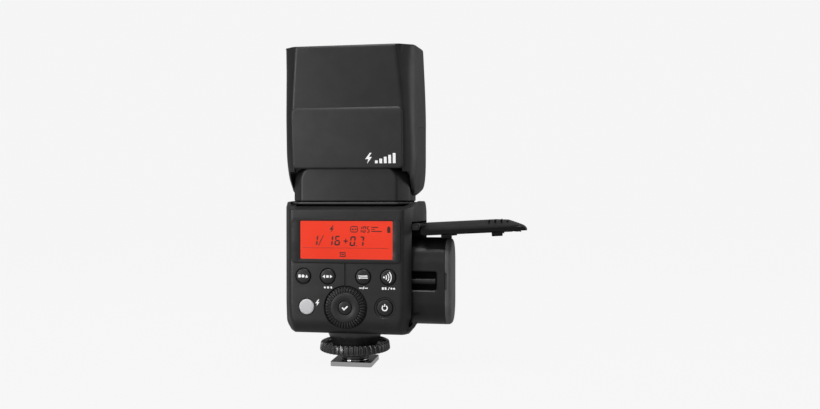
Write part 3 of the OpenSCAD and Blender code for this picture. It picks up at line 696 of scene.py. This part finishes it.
def split(shell, names, y, gap=0.1):
    """Divides a shell at a plane of constant Y into a rear and a front piece."""
    front = copy_of(shell, names[1])
    shell.name = names[0]
    carve(shell, [box_cutter(-FAR, FAR, -FAR, y - gap / 2, -FAR, FAR)], "INTERSECT")
    carve(front, [box_cutter(-FAR, FAR, y + gap / 2, FAR, -FAR, FAR)], "INTERSECT")
    return shell, front


def hole(x, z, r, depth=4.0, flare=0.35):
    """A round cutter for the rear panel with a chamfered mouth."""
    profile = [(0, -3), (r + flare + 3, -3), (r + flare, 0), (r, flare), (r, depth), (0, depth)]
    return revolve("cut", profile, (x, REAR, z), "y", 64)


def hole_front(x, z, r, depth=4.0):
    """The same for the front face."""
    profile = [(0, 3), (r + 3.25, 3), (r + 0.25, 0), (r, -0.25), (r, -depth), (0, -depth)]
    return revolve("cut", profile, (x, FRONT, z), "y", 48)


def stadium(grow, steps):
    """The battery's section, as (y, z) points."""
    r = BATT_R + grow
    arc = [pi * k / steps for k in range(steps + 1)]
    upper = [(r * cos(t), BATT_Z + BATT_HALF + r * sin(t)) for t in arc]
    lower = [(-r * cos(t), BATT_Z - BATT_HALF - r * sin(t)) for t in arc]
    return upper + lower


def body_covers():
    """The body's two covers, with their openings."""
    shell = body_solid("shell", 0)
    inner = body_solid("inner", WALL)
    carve(inner, [body_dish(WALL)])
    carve(shell, [body_dish(0), inner])
    ledge = BODY_BOTTOM + WALL + 0.05
    door_half = DOOR_HALF + 0.15
    opening = box_cutter(BAY_FACE, FAR, -door_half, door_half, ledge, OPENING_TOP)
    lip = box_cutter(BOTTOM_HALF - 1.2, FAR, -door_half, door_half, 0, ledge + 1)
    carve(shell, [opening, lip, drill(6.6, 60, 90, (0, AXIS_Y, 0), "z", 64)])
    rear, front = split(shell, ("rear_cover_shell", "front_cover_shell"), SEAM_Y)

    cuts = [hole(x, BUTTON_Z, BUTTON_R + 0.12) for x in BUTTONS.values()]
    cuts += [hole(*TEST_AT, TEST_R + 0.12), hole(*POWER_AT, POWER_R + 0.12)]
    cuts += [hole(*POWER_AT, POWER_R + 0.8, 0.45, 0.3), hole(0, DIAL_Z, DIAL_R + 0.2, 4, 0.45)]
    cuts += [prism("cut", rect(*SCREEN, 2.2), "y", REAR - 3, REAR + 0.9)]
    cuts += [prism("cut", around(LCD, 0.6, 0.4), "y", REAR, REAR + 4)]
    groove = [(-0.45, -0.1), (0.45, -0.1), (0.2, 0.4), (-0.2, 0.4)]
    cuts += [loft("cut", [[(x, REAR + y, z) for x, y in groove] for z in (DIAL_Z + DIAL_R, SCREEN[2] + 0.5)])]
    carve(rear, cuts)
    finish(rear, "body", "shell", "rear_cover")

    cuts = [prism("cut", rect(-12, 12, 30, 48, 2), "y", FRONT - 4, FRONT + 3), hole_front(0, 55, 3.5)]
    cuts += [hole_front(x, z, 1.8, 1.2) for x in (-20, 20) for z in (26, 56)]
    cuts += [prism("cut", rect(1.4, 12.1, 58.6, 69.6, 0.6), "x", -FAR, -20)]
    carve(front, cuts)
    finish(front, "body", "shell", "front_cover")


def ear_outline(grow):
    """The flat face of an ear cap, as (y, z) points."""
    y0 = -7 - grow
    y1 = 15.5 + grow
    return rounded([(y0, 60, 0.1), (y1, 60, 0.1), (y1, 106 + grow, 4), (y0, 106 + grow, 4)], 8)


def head_covers():
    """The head's covers, ear caps and lens frame, all cut from one outer form."""
    outer = head_solid("head", 0)
    frame_piece = copy_of(outer, "lens_frame_rim")
    caps = {s: copy_of(outer, f"ear_cap_{s}") for s in ("left", "right")}
    inner = head_solid("inner", WALL)
    carve(inner, [box_cutter(-FAR, FAR, -FAR, FAR, SLOT_TOP, SLOT_TOP + 1.1)])
    ear_walls = [(s * EAR_WALL_X - 0.6, s * EAR_WALL_X + 0.6) for s in (-1, 1)]
    carve(inner, [box_cutter(*wall, -FAR, FAR, 60, SLOT_TOP) for wall in ear_walls])
    shell = carve(outer, [inner], keep=True)

    slot = [box_cutter(-EAR_IN, EAR_IN, -FAR, FAR, 60, PLATE[2] - 1.3)]
    slot += [box_cutter(-EAR_IN, EAR_IN, AXIS_Y, FAR, 60, SLOT_TOP)]
    slot += [prism("cut", disc(AXIS_Y, TILT_Z, BARREL_R + 0.4, 64), "x", -22.5, 22.5), rim_space(1.2)]
    carve(shell, slot)
    for side, s in (("left", -1), ("right", 1)):
        reach = sorted((s * EAR_CAP_X, s * FAR))
        carve(shell, [prism("cut", ear_outline(0.1), "x", *reach)])
        cap = carve(caps[side], [inner], keep=True)
        carve(cap, [prism("cut", ear_outline(0), "x", *reach)], "INTERSECT")
        finish(cap, "head", "shell", f"ear_cap_{side}", 0.18)
    bpy.data.objects.remove(inner)

    rear, front = split(shell, ("head_rear_shell", "head_front_shell"), AXIS_Y)
    carve(rear, [box_cutter(-24, 24, -FAR, 0, 60, TILT_Z + 4)])
    finish(rear, "head", "shell", "head_rear_cover")
    screws = [(x, 0, 130) for x in (-24, 24)]
    carve(front, [drill(1.75, 19.2, 23, at, "y") for at in screws])
    collar = [(0, 17.2), (2.9, 17.2), (2.6, 19.6), (2.35, 19.95), (2.2, 20.0), (1.8, 20.0), (1.75, 19.95),
              (1.75, 19.2), (0, 19.2)]
    front = joined("head_front_shell", [front] + [revolve("collar", collar, at, "y", 48) for at in screws])
    finish(front, "head", "shell", "head_front_cover")

    carve(frame_piece, [rim_space(1.28)], "INTERSECT")
    carve(frame_piece, window_cutters())
    finish(frame_piece, "head", "shell", "lens_frame")


def rim_space(inset):
    """The part of the head's mouth that the lens frame fills, drawn in from the outer faces by inset."""
    side = 29.9 - inset
    rear_half = [(-23.6, inset, 2), (23.6, inset, 2), (28.6 - inset, 7.6, 7)]
    depth = 20.0 - HEAD_REAR_TOP - inset
    outline = rounded(rear_half + [(side, 19.6, 10), (side, depth, 6), (-side, depth, 6), (-side, 19.6, 10),
                                   (inset - 28.6, 7.6, 7)], 6)
    space = prism("cut", outline, "z", FRAME_LOW - HEAD_TOP, 3)
    lean_onto(space, "top")
    return space


def window_cutters():
    """Cutters for the flash window: a flared mouth, the light's way out and the slot of the wide panel."""
    y0, y1 = LENS_Y
    mouth = loft("cut", [lifted(rect(-25.5 - d, 25.5 + d, y0 - 0.1 - d, y1 + 0.1 + d, 1.2), "z", z)
                         for z, d in ((-2.6, 0), (-0.7, 0), (0.2, 0.9))])
    light = prism("cut", rect(-24.5, 24.5, y0 + 0.9, y1 - 0.9, 1), "z", -12, -1)
    slot = box_cutter(-22.4, 22.4, WALL + 0.1, WALL + 3.3, 13, 63)
    return [lean_onto(mouth, "top"), lean_onto(light, "top"), lean_onto(slot, "rear")]


def lean_onto(obj, face):
    """Moves a shape onto the head's leaning top or rear face, from a frame with its origin on their edges."""
    y, z = {"top": (HEAD_REAR_TOP, HEAD_TOP), "rear": HEAD_REAR_AT}[face]
    obj.data.transform(Matrix.Translation((0, y * MM, z * MM)) @ Matrix.Rotation(atan(LEAN), 4, "X"))
    return obj


def cover_plate():
    """The raised plate: a shallow slab with a wide bevel above and a soft overhang below."""
    x1 = PLATE[1]
    z0 = PLATE[2] - HEAD_REAR_AT[1]
    z1 = PLATE[3] - HEAD_REAR_AT[1]
    steps = [(0.15, 0.05, 0.05), (-0.35, 0, 0), (-0.62, 0.06, 0.28), (-0.84, 0.22, 0.62), (-0.96, 0.5, 0.95),
             (-1.0, 0.85, 1.3)]
    rings = []
    for depth, inset, top_inset in steps:
        half = x1 - inset
        low, high = z0 + inset, z1 - top_inset
        outline = rounded([(-half, low, 1.6), (half, low, 1.6), (half, high, 2.0), (-half, high, 2.0)], 6)
        rings.append(lifted(outline, "y", depth))
    plate = lean_onto(loft("cover_plate_slab", rings), "rear")
    finish(plate, "head", "plate", "cover_plate")


def plate_sign():
    """A plain flash-power picture on the cover plate: a bolt and five rising bars."""
    outlines = [bolt(9.6, 4.9, 4.6)]
    outlines += [bar(12.4 + 1.95 * k, 13.6 + 1.95 * k, 2.7, 3.9 + 0.78 * k) for k in range(5)]
    sign = joined("plate_sign", [prism("sign", outline, "y", -1.03, -0.95) for outline in outlines])
    place(lean_onto(sign, "rear"), "head", "ink")


def neck_covers():
    """The neck's two covers, the turntable under them, and a near-black core between them that closes the gap
    and paints the shade under the neck.
    """
    neck = neck_solid("neck", 0)
    carve(neck, [neck_solid("inner", WALL), drill(3.6, 60, 76, (0, AXIS_Y, 0), "z")])
    carve(neck, [prism("cut", disc(AXIS_Y, TILT_Z, 4, 48), "x", -FAR, FAR)])
    rear, front = split(neck, ("neck_rear_shell", "neck_front_shell"), AXIS_Y, 0.06)
    finish(rear, "neck", "shell", "neck_rear_cover")
    finish(front, "neck", "shell", "neck_front_cover")

    def flange(inset):
        d = BARREL_R + 0.1 - inset
        w = 27.2 - inset
        return both_sides([(w - 5, AXIS_Y - d, 2.2), (w, AXIS_Y - d + 6.5, 2.5), (w, AXIS_Y + d - 5, 2.5),
                           (w - 5, AXIS_Y + d, 2.2)], 5)

    ring = soft_prism("flange", flange, "z", NECK_BOTTOM - 1.35, NECK_BOTTOM - 0.4, 0.25)
    # Near-black core inside the flange: it closes the gap and paints the shade between neck and body
    shade_core = prism("turntable_shade_core", flange(1.3), "z", DISH_Z + 0.05, NECK_BOTTOM + 0.8)
    finish(shade_core, "neck", "painted_shade")
    tube = [(3.6, 67.6), (5.2, 67.6), (5.2, DISH_Z + 1), (3.6, DISH_Z + 1)]
    # The turntable in its lighter grey, which paints the light on its rim
    turntable = joined("turntable_flange", [ring, revolve("tube", tube, (0, AXIS_Y, 0), "z", 64)])
    finish(turntable, "neck", "flange", "turntable")


# ---------------------------------------------------------------- control panel


def flat_mark(name, outlines, y, body, thick=0.05, look="ink"):
    """Printed marks: thin prisms standing just proud of a surface that faces -Y."""
    parts = [prism(name, outline, "y", y - thick, y + 0.05) for outline in outlines]
    place(joined(name, parts), body, look)


def moved(outlines, x, z):
    return [[(x + a, z + b) for a, b in outline] for outline in outlines]


def bar(x0, x1, z0, z1):
    return [(x0, z0), (x1, z0), (x1, z1), (x0, z1)]


def arc_band(x, z, r, width, start, end, steps):
    """A curved stroke about a centre between two angles in degrees."""
    angles = [radians(t) for t in span(start, end, steps)]
    outer = [(x + (r + width / 2) * cos(t), z + (r + width / 2) * sin(t)) for t in angles]
    inner = [(x + (r - width / 2) * cos(t), z + (r - width / 2) * sin(t)) for t in reversed(angles)]
    return outer + inner


def bolt(x, z, s):
    """A lightning flash centred on a point, s high."""
    shape = [(0.12, 0.5), (-0.32, -0.08), (-0.03, -0.08), (-0.14, -0.5), (0.32, 0.12), (0.03, 0.12),
             (0.3, 0.5)]
    return [(x + a * s, z + b * s) for a, b in shape]


def digit(code, x, z, w, h, stroke=0.66):
    """Seven-segment outlines for the segments named in code, leaning to the right."""
    gap = 0.09
    slant = 0.13
    half = stroke / 2
    mid = h / 2
    flat = {"a": h - half, "g": mid, "d": half}
    tall = {"f": (half, mid, h), "b": (w - half, mid, h), "e": (half, 0, mid), "c": (w - half, 0, mid)}
    shapes = []
    for s in code:
        if s in flat:
            v = flat[s]
            near = stroke + gap
            shape = [(half + gap, v), (near, v + half), (w - near, v + half), (w - half - gap, v),
                     (w - near, v - half), (near, v - half)]
        else:
            u, low, high = tall[s]
            shape = [(u, low + gap), (u + half, low + half + gap), (u + half, high - half - gap),
                     (u, high - gap), (u - half, high - half - gap), (u - half, low + half + gap)]
        shapes.append([(x + a + slant * b, z + b) for a, b in shape])
    return shapes


SEGMENTS = {"0": "abcdef", "1": "bc", "5": "acdfg", "6": "acdefg", "7": "abc"}


def screen():
    """The glossy bezel, the lit glass and the generic readings on it."""
    bezel = soft_prism("screen_bezel", lambda inset: around(SCREEN, -0.1 - inset, 2.0), "y", REAR - 0.15,
                       REAR + 0.85, 0.2, (True, False))
    mouth = loft("cut", [lifted(around(LCD, d, 0.5), "y", y)
                         for y, d in ((REAR - 1, 0.3), (REAR - 0.16, 0.3), (REAR + 0.02, 0), (REAR + 2, 0))])
    carve(bezel, [mouth])
    finish(bezel, "body", "gloss", "lcd_bezel", angle=30)
    glass = prism("screen_glass", rect(*LCD, 0.4), "y", REAR + 0.05, REAR + 3)
    finish(glass, "body", "lcd", "lcd_module")

    face = REAR + 0.05
    small = [bolt(-6.7, 61.3, 3.0)]
    small += [bar(1.9, 4.5, 62.2, 62.6), bar(1.9, 4.5, 59.9, 60.3), bar(1.5, 1.9, 60.3, 62.2)]
    small += [bar(4.5, 4.9, 60.3, 62.2), disc(2.6, 61.25, 0.4, 12), disc(3.8, 61.25, 0.4, 12)]
    for k, number in enumerate("105"):
        small += digit(SEGMENTS[number], 5.1 + 1.7 * k, 59.8, 1.35, 2.8, 0.42)
    small += [bar(10.7, 13.6, 61.9, 62.3), bar(10.7, 15.2, 60.2, 60.6), bar(10.7, 12.2, 61.1, 61.4)]
    small += [bar(17.6, 19.0, 59.8, 62.2), bar(18.0, 18.6, 62.2, 62.6)]
    large = digit(SEGMENTS["1"], -14.6, 54.2, 1.5, 4.3)
    large += [[(-12.7, 54.2), (-12.3, 54.2), (-10.2, 58.5), (-10.6, 58.5)]]
    large += digit(SEGMENTS["1"], -7.9, 54.2, 1.5, 4.3) + digit(SEGMENTS["6"], -5.6, 54.2, 2.4, 4.3)
    large += [bar(-1.5, 0.5, 55.95, 56.4), bar(-0.72, -0.28, 55.15, 57.2)]
    large += digit(SEGMENTS["0"], 1.1, 54.0, 2.4, 4.3)
    large += [disc(4.2, 54.2, 0.24, 12)] + digit(SEGMENTS["7"], 5.0, 54.0, 2.2, 4.3)
    box = [bar(-3.1, -0.6, 51.0, 51.4), bar(-3.1, -0.6, 49.3, 49.7), bar(-3.1, -2.75, 49.7, 51.0),
           bar(-0.95, -0.6, 49.7, 51.0), bar(-2.4, -1.3, 50.1, 50.6)]
    flat_mark("screen_marks", moved(small + large + box, 0.65, 0), face, "body", 0.025, "segment")
    flat_mark("screen_rule", [bar(-19, 18.8, 53.1, 53.27)], face, "body", 0.02, "rule")


def button(key, at, r, proud, look, dome=0.3):
    """A push button with a soft rim and a slightly domed face."""
    face = REAR - proud
    back = REAR + WALL + 0.05
    profile = [(0, face), (r * 0.35, face + 0.03 * dome), (r * 0.65, face + 0.16 * dome)]
    rim = face + dome * 0.4
    profile += [(r - 0.55 * (1 - sin(t)), rim + 0.5 * (1 - cos(t))) for t in quarter(5)]
    profile += [(r, back), (r + 0.7, back), (r + 0.7, back + 0.75), (0, back + 0.75)]
    obj = revolve(f"{key}_button_top", profile, (at[0], 0, at[1]), "y", 72)
    finish(obj, f"{key}_button", look, f"{key}_button", angle=32)


def panel():
    """The buttons, the pictures on and under them, and the dial."""
    for key, x in BUTTONS.items():
        button(key, (x, BUTTON_Z), BUTTON_R, KEY_PROUD, "key")
    button("test", TEST_AT, TEST_R, KEY_PROUD, "light_key", 0.15)
    button("power", POWER_AT, POWER_R - 0.15, POWER_PROUD, "key", 0.2)
    button("set", (0, DIAL_Z), SET_R, SET_PROUD, "key")

    signs = {
        "mode": [bar(-2.1, -1.0, -0.6, 0.6), disc(0, 0, 0.66), [(1.0, -0.6), (2.2, -0.6), (1.6, 0.65)]],
        "zoom": [[(-2.2, 0), (-1.1, 0.75), (-1.1, -0.75)], bar(-0.55, 0.55, -0.5, 0.5),
                 [(2.2, 0), (1.1, -0.75), (1.1, 0.75)]],
        "sync": [bar(-2.1, 1.2, 0.22, 0.62), [(1.2, 0.05), (2.2, 0.42), (1.2, 0.9)],
                 bar(-1.2, 2.1, -0.62, -0.22), [(-1.2, -0.9), (-1.2, -0.05), (-2.2, -0.42)]],
        "slave": [disc(-1.7, 0, 0.42)] + [arc_band(-1.9, 0, r, 0.42, -42, 42, 8) for r in (1.3, 2.3, 3.3)],
    }
    for key, sign in signs.items():
        sign = moved(sign, BUTTONS[key], BUTTON_Z)
        flat_mark(f"{key}_sign", sign, REAR - KEY_PROUD + 0.02, f"{key}_button")

    z = LABEL_Z
    marks = [disc(-9.1, z, 0.42, 16), bar(-8.1, -7.2, z - 0.42, z + 0.42), disc(-6.2, z, 0.42, 16)]
    marks += [bar(6.0, 7.3, z - 0.18, z + 0.18), bolt(7.9, z, 1.5), bar(8.5, 9.8, z - 0.18, z + 0.18)]
    marks += [bar(16.0 + k * 1.15, 16.8 + k * 1.15, z - 0.5, z + 0.5) for k in range(2)]
    marks += [[(18.5, z - 0.6), (18.8, z - 0.6), (19.4, z + 0.6), (19.1, z + 0.6)]]
    marks += [disc(20.1 + k * 1.15, z, 0.42, 16) for k in range(2)] + [bolt(-12.4, 29.4, 2.9)]
    flat_mark("panel_signs", marks, REAR + 0.01, "body", 0.03)
    power = [arc_band(0, 0, 1.1, 0.5, 122, 418, 32), bar(-0.22, 0.22, 0.55, 1.65)]
    flat_mark("power_sign", moved(power, *POWER_AT), REAR - POWER_PROUD + 0.02, "power_button", 0.04)
    tick = [(-1.35, 0), (-0.95, 0.42), (-0.35, -0.25), (1.0, 1.0), (1.4, 0.6), (-0.35, -1.05)]
    flat_mark("set_sign", moved([tick], 0, DIAL_Z), REAR - SET_PROUD + 0.02, "set_button")
    dial()


def dial():
    """The select dial: a flat middle and a sloping rim cut into ribs."""
    face = REAR - 1.0
    back = REAR + 1.1
    profile = [(SET_R + 0.1, face + 0.15, 0), (SET_R + 0.3, face, 0), (6.1, face, 0), (6.25, face + 0.05, 0),
               (6.4, face + 0.3, 0), (6.75, face + 0.32, 1), (7.9, face + 0.42, 1), (8.4, face + 0.62, 1),
               (8.6, face + 1.0, 1), (8.65, REAR + 0.55, 1), (8.6, REAR + 0.7, 0), (DIAL_R, REAR + 0.8, 0),
               (DIAL_R, back, 0), (5.6, back, 0), (5.6, REAR + 4.4, 0), (4.4, REAR + 4.4, 0), (4.4, back, 0),
               (SET_R + 0.1, REAR + 1.0, 0)]
    count = DIAL_RIBS * 14
    rings = []
    for k in range(count):
        t = 2 * pi * k / count
        wave = max(-1.0, min(1.0, 1.9 * cos(DIAL_RIBS * t)))
        ring = []
        for r, h, w in profile:
            reach = r + 0.3 * w * wave * (r > 8.2)
            rise = h - 0.26 * w * wave * (r <= 8.5)
            ring.append((reach * cos(t), rise, DIAL_Z + reach * sin(t)))
        rings.append(ring)
    obj = loft("dial_ribbed", rings, closed=True)
    finish(obj, "select_dial", "dark", "select_dial", angle=42)


# ---------------------------------------------------------------- foot


def foot():
    """The foot's cone, the notched locking ring and the washer under it."""
    profile = [(0, 5.0), (5.5, 5.0), (5.5, 2.0), (6.2, 2.0), (6.2, 8.4), (9.9, 8.4), (10.2, 8.7), (10.5, 9.6),
               (12.4, 14.6), (12.9, 16.0), (13.0, 16.5), (0, 16.5)]
    base = revolve("foot_cone", profile, (0, 0, 0), "z", 128)
    finish(base, "body", "ring", "foot_base", angle=30)

    low, high = RING_Z
    bore = SPINDLE_R + 0.1
    profile = [(bore, low, 0), (14.7, low, 0), (15.2, low + 0.1, 0.4), (15.45, low + 0.4, 1),
               (15.5, low + 0.9, 1), (15.2, high - 0.9, 1), (15.1, high - 0.45, 1), (14.9, high - 0.12, 0.4),
               (14.7, high, 0), (14.35, high - 0.05, 0), (14.15, high - 0.4, 0), (13.9, high - 1.7, 0),
               (13.5, high - 1.95, 0), (bore, high - 2.0, 0)]
    count = RING_NOTCHES * 14
    rings = []
    for k in range(count):
        t = 2 * pi * k / count
        wave = max(-1.0, min(1.0, 1.8 * cos(RING_NOTCHES * t)))
        rings.append([((r + 0.38 * w * wave) * cos(t), (r + 0.38 * w * wave) * sin(t), h)
                      for r, h, w in profile])
    ring = loft("ring_notched", rings, closed=True)
    finish(ring, "locking_ring", "ring", "locking_ring", angle=42)

    profile = [(6.35, 4.5), (8.9, 4.5), (9.1, 4.6), (10.9, 5.8), (10.95, 6.0), (6.35, 6.0)]
    washer = revolve("washer_turned", profile, (0, 0, 0), "z")
    finish(washer, "clamp_washer", "dark", "clamp_washer", angle=30)


# ---------------------------------------------------------------- battery and door


def battery():
    """The battery: its case with the latch recess, and the end that shows at rest, coloured a lighter grey
    that paints the light falling on it.
    """
    start = BATT_HOME - BATT_LEN + BATT_OUT
    seam = BATT_HOME - 1.6 + BATT_OUT
    end = BATT_HOME + BATT_OUT + 1.1
    face = -BATT_R

    def ring(x, inset):
        return lifted(stadium(-inset, 40), "x", x)

    case = loft("battery_body", [ring(start, 0.8), ring(start + 0.25, 0.25), ring(start + 0.9, 0),
                                 ring(seam - 0.22, 0), ring(seam - 0.08, 0.14)])
    x0 = BATT_OUT + 4
    x1 = BATT_OUT + 20.6
    recess = (x0, x1, 34.6, 42.9)
    rings = [lifted(around(recess, d, 1.0 + d), "y", y)
             for y, d in ((face - 1, 0.4), (face, 0.4), (face + 0.3, 0), (face + 2.4, 0))]
    carve(case, [loft("cut", rings)])
    # A near-black sheet on the floor of the latch recess paints the shade inside it
    recess_shade = prism("battery_recess_shade", around(recess, -0.1, 0.9), "y", face + 2.2, face + 2.5)
    finish(recess_shade, "battery", "painted_shade")
    grip = [(0, x0 + 0.6), (1.5, x0 + 0.6), (1.5, x1 - 0.7), (1.2, x1 - 0.4), (0, x1 - 0.4)]
    case = joined("battery_body", [case, revolve("bar", grip, (0, face + 2.5, 38.4), "x", 40)])
    finish(case, "battery", "battery", "battery_case", angle=34)

    rings = [ring(seam - 0.06, 0.16), ring(seam + 0.06, 0.02), ring(seam + 0.25, 0), ring(seam + 0.5, 0.02)]
    rings += [ring(end - 2.0 * (1 - sin(t)), 2.2 * (1 - cos(t)) + 0.02) for t in quarter(8, 1)]
    # The end cap, in the lighter grey that paints the light on it
    cap = loft("battery_end_painted_light", rings + [ring(end + 0.05, 3.6)])
    notch = rect(seam - 1.4, seam + 0.9, 35.0, 42.6, 0.9)
    carve(cap, [prism("cut", notch, "y", face - 1, face + 0.9)])
    finish(cap, "battery", "battery_end_painted_light", "battery_cap", angle=34)


def door():
    """The battery door, worked out shut and then swung open about its hinge."""
    hinge_x, hinge_z = HINGE
    skin = body_solid("door_skin", 0, DOOR_TUCK_FROM)
    carve(skin, [body_solid("inner", WALL, DOOR_TUCK_FROM)])
    carve(skin, [box_cutter(24.3, FAR, -DOOR_HALF, DOOR_HALF, 0, OPENING_TOP - 0.3)], "INTERSECT")
    tip = box_cutter(0, BOTTOM_HALF - 1.1, -FAR, FAR, 0, BODY_BOTTOM + WALL + 0.9)
    gaps = [box_cutter(BAY_FACE, FAR, s * 10.9 - 3.1, s * 10.9 + 3.1, hinge_z - 1.7, FAR) for s in (-1, 1)]
    bore = drill(0.85, -20, 20, (hinge_x, 0, hinge_z), "y", 32)
    carve(skin, [tip] + gaps)
    parts = [skin]
    for s in (-1, 1):
        rim = body_solid("rim", WALL / 2)
        carve(rim, [box_cutter(26, FAR, *sorted((s * 11.6, s * 12.8)), 21.4, hinge_z - 3)], "INTERSECT")
        parts.append(rim)
        lug_y = (s * 12.2 - 0.6, s * 12.2 + 0.6)
        parts += [soft_box("lug", (24.4, 27.2), lug_y, (z - 2.3, z + 2.3), 0.3, "x") for z in (28.0, 49.6)]
    knuckle = revolve("knuckle", [(0, -7.8), (1.3, -7.8), (1.5, -7.6), (1.5, 7.6), (1.3, 7.8), (0, 7.8)],
                      (hinge_x - 0.2, 0, hinge_z), "y", 48)
    arm = soft_box("arm", (hinge_x - 1.6, hinge_x + 0.6), (-7.8, 7.8), (hinge_z - 3, hinge_z), 0.3)
    carve(knuckle, [bore], keep=True)
    carve(arm, [bore])
    parts += [knuckle, arm]
    for k in range(4):
        z = 23.2 + 2.7 * k
        side = (z - BODY_BOTTOM) / (SIDE_BREAK - BODY_BOTTOM)
        x = min(HALF_W, BOTTOM_HALF + (HALF_W - BOTTOM_HALF) * side) - 0.1
        parts.append(soft_box("ridge", (x - 0.4, x + 0.35), (-5, 5), (z, z + 0.7), 0.25, "y"))
    obj = joined("door_leaf", parts)
    pivot = Vector((hinge_x * MM, 0, hinge_z * MM))
    turn = Matrix.Rotation(-DOOR_OPEN, 4, "Y")
    obj.data.transform(Matrix.Translation(pivot) @ turn @ Matrix.Translation(-pivot))
    finish(obj, "battery_door", "door", "battery_door", 0.14, 40)


# ---------------------------------------------------------------- flash window


def flash_window():
    """A prism lens: ridges run along the tube on its inner side, under a plain outer face."""
    y0, y1 = LENS_Y
    low = -2.4
    top = -0.8
    ridges = 30
    pitch = (y1 - y0 - 1.2) / ridges
    profile = [(y0, top - 0.2), (y0, low)]
    for k in range(ridges):
        y = y0 + 0.6 + pitch * k
        peak = low + 0.25 + 0.55 * abs(2 * (k + 0.5) / ridges - 1)
        if k < ridges / 2:
            profile += [(y, low), (y + 0.03, peak)]
        else:
            profile += [(y, peak), (y + pitch - 0.03, low)]
    profile += [(y1, low), (y1, top - 0.2), (y1 - 0.2, top), (y0 + 0.2, top)]
    lens = lean_onto(prism("window_prisms", profile, "x", -25.4, 25.4), "top")
    finish(lens, "head", "clear", "fresnel_lens", angle=20)


def kept_nodes():
    """The CAD's own parts that stay in view or inside get the look of their material slot."""
    slots = {row["node"]: row["material_slot"] for row in frame["record"]["subparts"]}
    visible = ("shoe_plate", "shoe_screws", "sensor_window", "assist_lens", "body_screws", "head_screws",
               "port_cover", "usb_port", "sync_jack", "door_pad", "wide_panel", "catchlight_panel",
               "reflector", "lock_pin", "contact_pins", "ejector", "door_hinge_pin", "battery_bay",
               "tilt_axle")
    own_look = {"wide_panel": "diffuser", "door_hinge_pin": "dark"}
    for name, obj in nodes.items():
        obj.data.materials.clear()
        obj.data.materials.append(M[own_look.get(name, SLOT_LOOK.get(slots[name], slots[name]))])
        if name in visible:
            obj.modifiers.new("weld", "WELD").merge_threshold = 2e-6
            round_edges(obj, 0.09, 40)


# ---------------------------------------------------------------- studio


def seen_only(tree, camera_colour, light):
    """One colour for the camera, and another, or a socket's value, for the light that falls on the object."""
    mix = tree.nodes.new("ShaderNodeMix")
    mix.data_type = "RGBA"
    colours = {socket.name: socket for socket in mix.inputs if socket.type == "RGBA"}
    if isinstance(light, tuple):
        colours["A"].default_value = (*light, 1)
    else:
        tree.links.new(light, colours["A"])
    colours["B"].default_value = (*camera_colour, 1)
    path = tree.nodes.new("ShaderNodeLightPath")
    tree.links.new(path.outputs["Is Camera Ray"], mix.inputs["Factor"])
    return [socket for socket in mix.outputs if socket.type == "RGBA"][0]


def room_light(tree):
    """Soft light from behind the camera, dark sides, and the bright backdrop beyond the object."""
    coords = tree.nodes.new("ShaderNodeTexCoord")
    split_up = tree.nodes.new("ShaderNodeSeparateXYZ")
    tree.links.new(coords.outputs["Generated"], split_up.inputs[0])
    level = tree.nodes.new("ShaderNodeMapRange")
    level.inputs["From Min"].default_value = -1.0
    tree.links.new(split_up.outputs["Y"], level.inputs["Value"])
    ramp = tree.nodes.new("ShaderNodeValToRGB")
    tree.links.new(level.outputs["Result"], ramp.inputs["Fac"])
    while len(ramp.color_ramp.elements) < len(ROOM_STOPS):
        ramp.color_ramp.elements.new(0.5)
    for element, (position, value) in zip(ramp.color_ramp.elements, ROOM_STOPS):
        element.position = position
        element.color = (*grey(value), 1)
    return ramp.outputs["Color"]


def shown(name, data, at, target):
    """Puts a lamp or the camera in the scene, facing its target."""
    obj = linked(name, data)
    obj.location = at
    obj.rotation_euler = (Vector(target) - Vector(at)).to_track_quat("-Z", "Y").to_euler()
    return obj


def studio():
    """A bright paper sweep, four soft lamps and the camera that the photo was taken with."""
    scene = bpy.context.scene
    world = bpy.data.worlds.new("studio")
    scene.world = world
    world.use_nodes = True
    tree = world.node_tree
    sky = tree.nodes["Background"]
    tree.links.new(seen_only(tree, grey(PAPER), room_light(tree)), sky.inputs["Color"])
    floor = prism("floor", rect(-4000, 4000, -4000, 4000, 0, 1), "z", -3.0, FLOOR_Z)
    s = Shader("floor_paper")
    s.colour(s.noise(3, 2), grey(0.018), grey(0.022))
    s.link(seen_only(s.tree, grey(PAPER - 0.004), grey(FLOOR_LIGHT)), s.bsdf.inputs["Emission Color"])
    s.set(Roughness=0.9, Specular_IOR_Level=0.0, Emission_Strength=1.0)
    floor.data.materials.append(s.material)

    for name, at, target, width, height, power in LAMPS:
        lamp = bpy.data.lights.new(name, "AREA")
        lamp.shape = "RECTANGLE"
        lamp.size = width
        lamp.size_y = height
        lamp.energy = power
        shown(name, lamp, at, target)

    camera = bpy.data.cameras.new("camera")
    camera.lens = 32.34
    camera.sensor_width = 36
    camera.clip_start = 0.01
    scene.camera = shown("camera", camera, CAMERA_AT, CAMERA_TARGET)
    scene.view_settings.view_transform = "Standard"


body_covers()
head_covers()
cover_plate()
plate_sign()
neck_covers()
screen()
panel()
foot()
battery()
door()
flash_window()
kept_nodes()
studio()
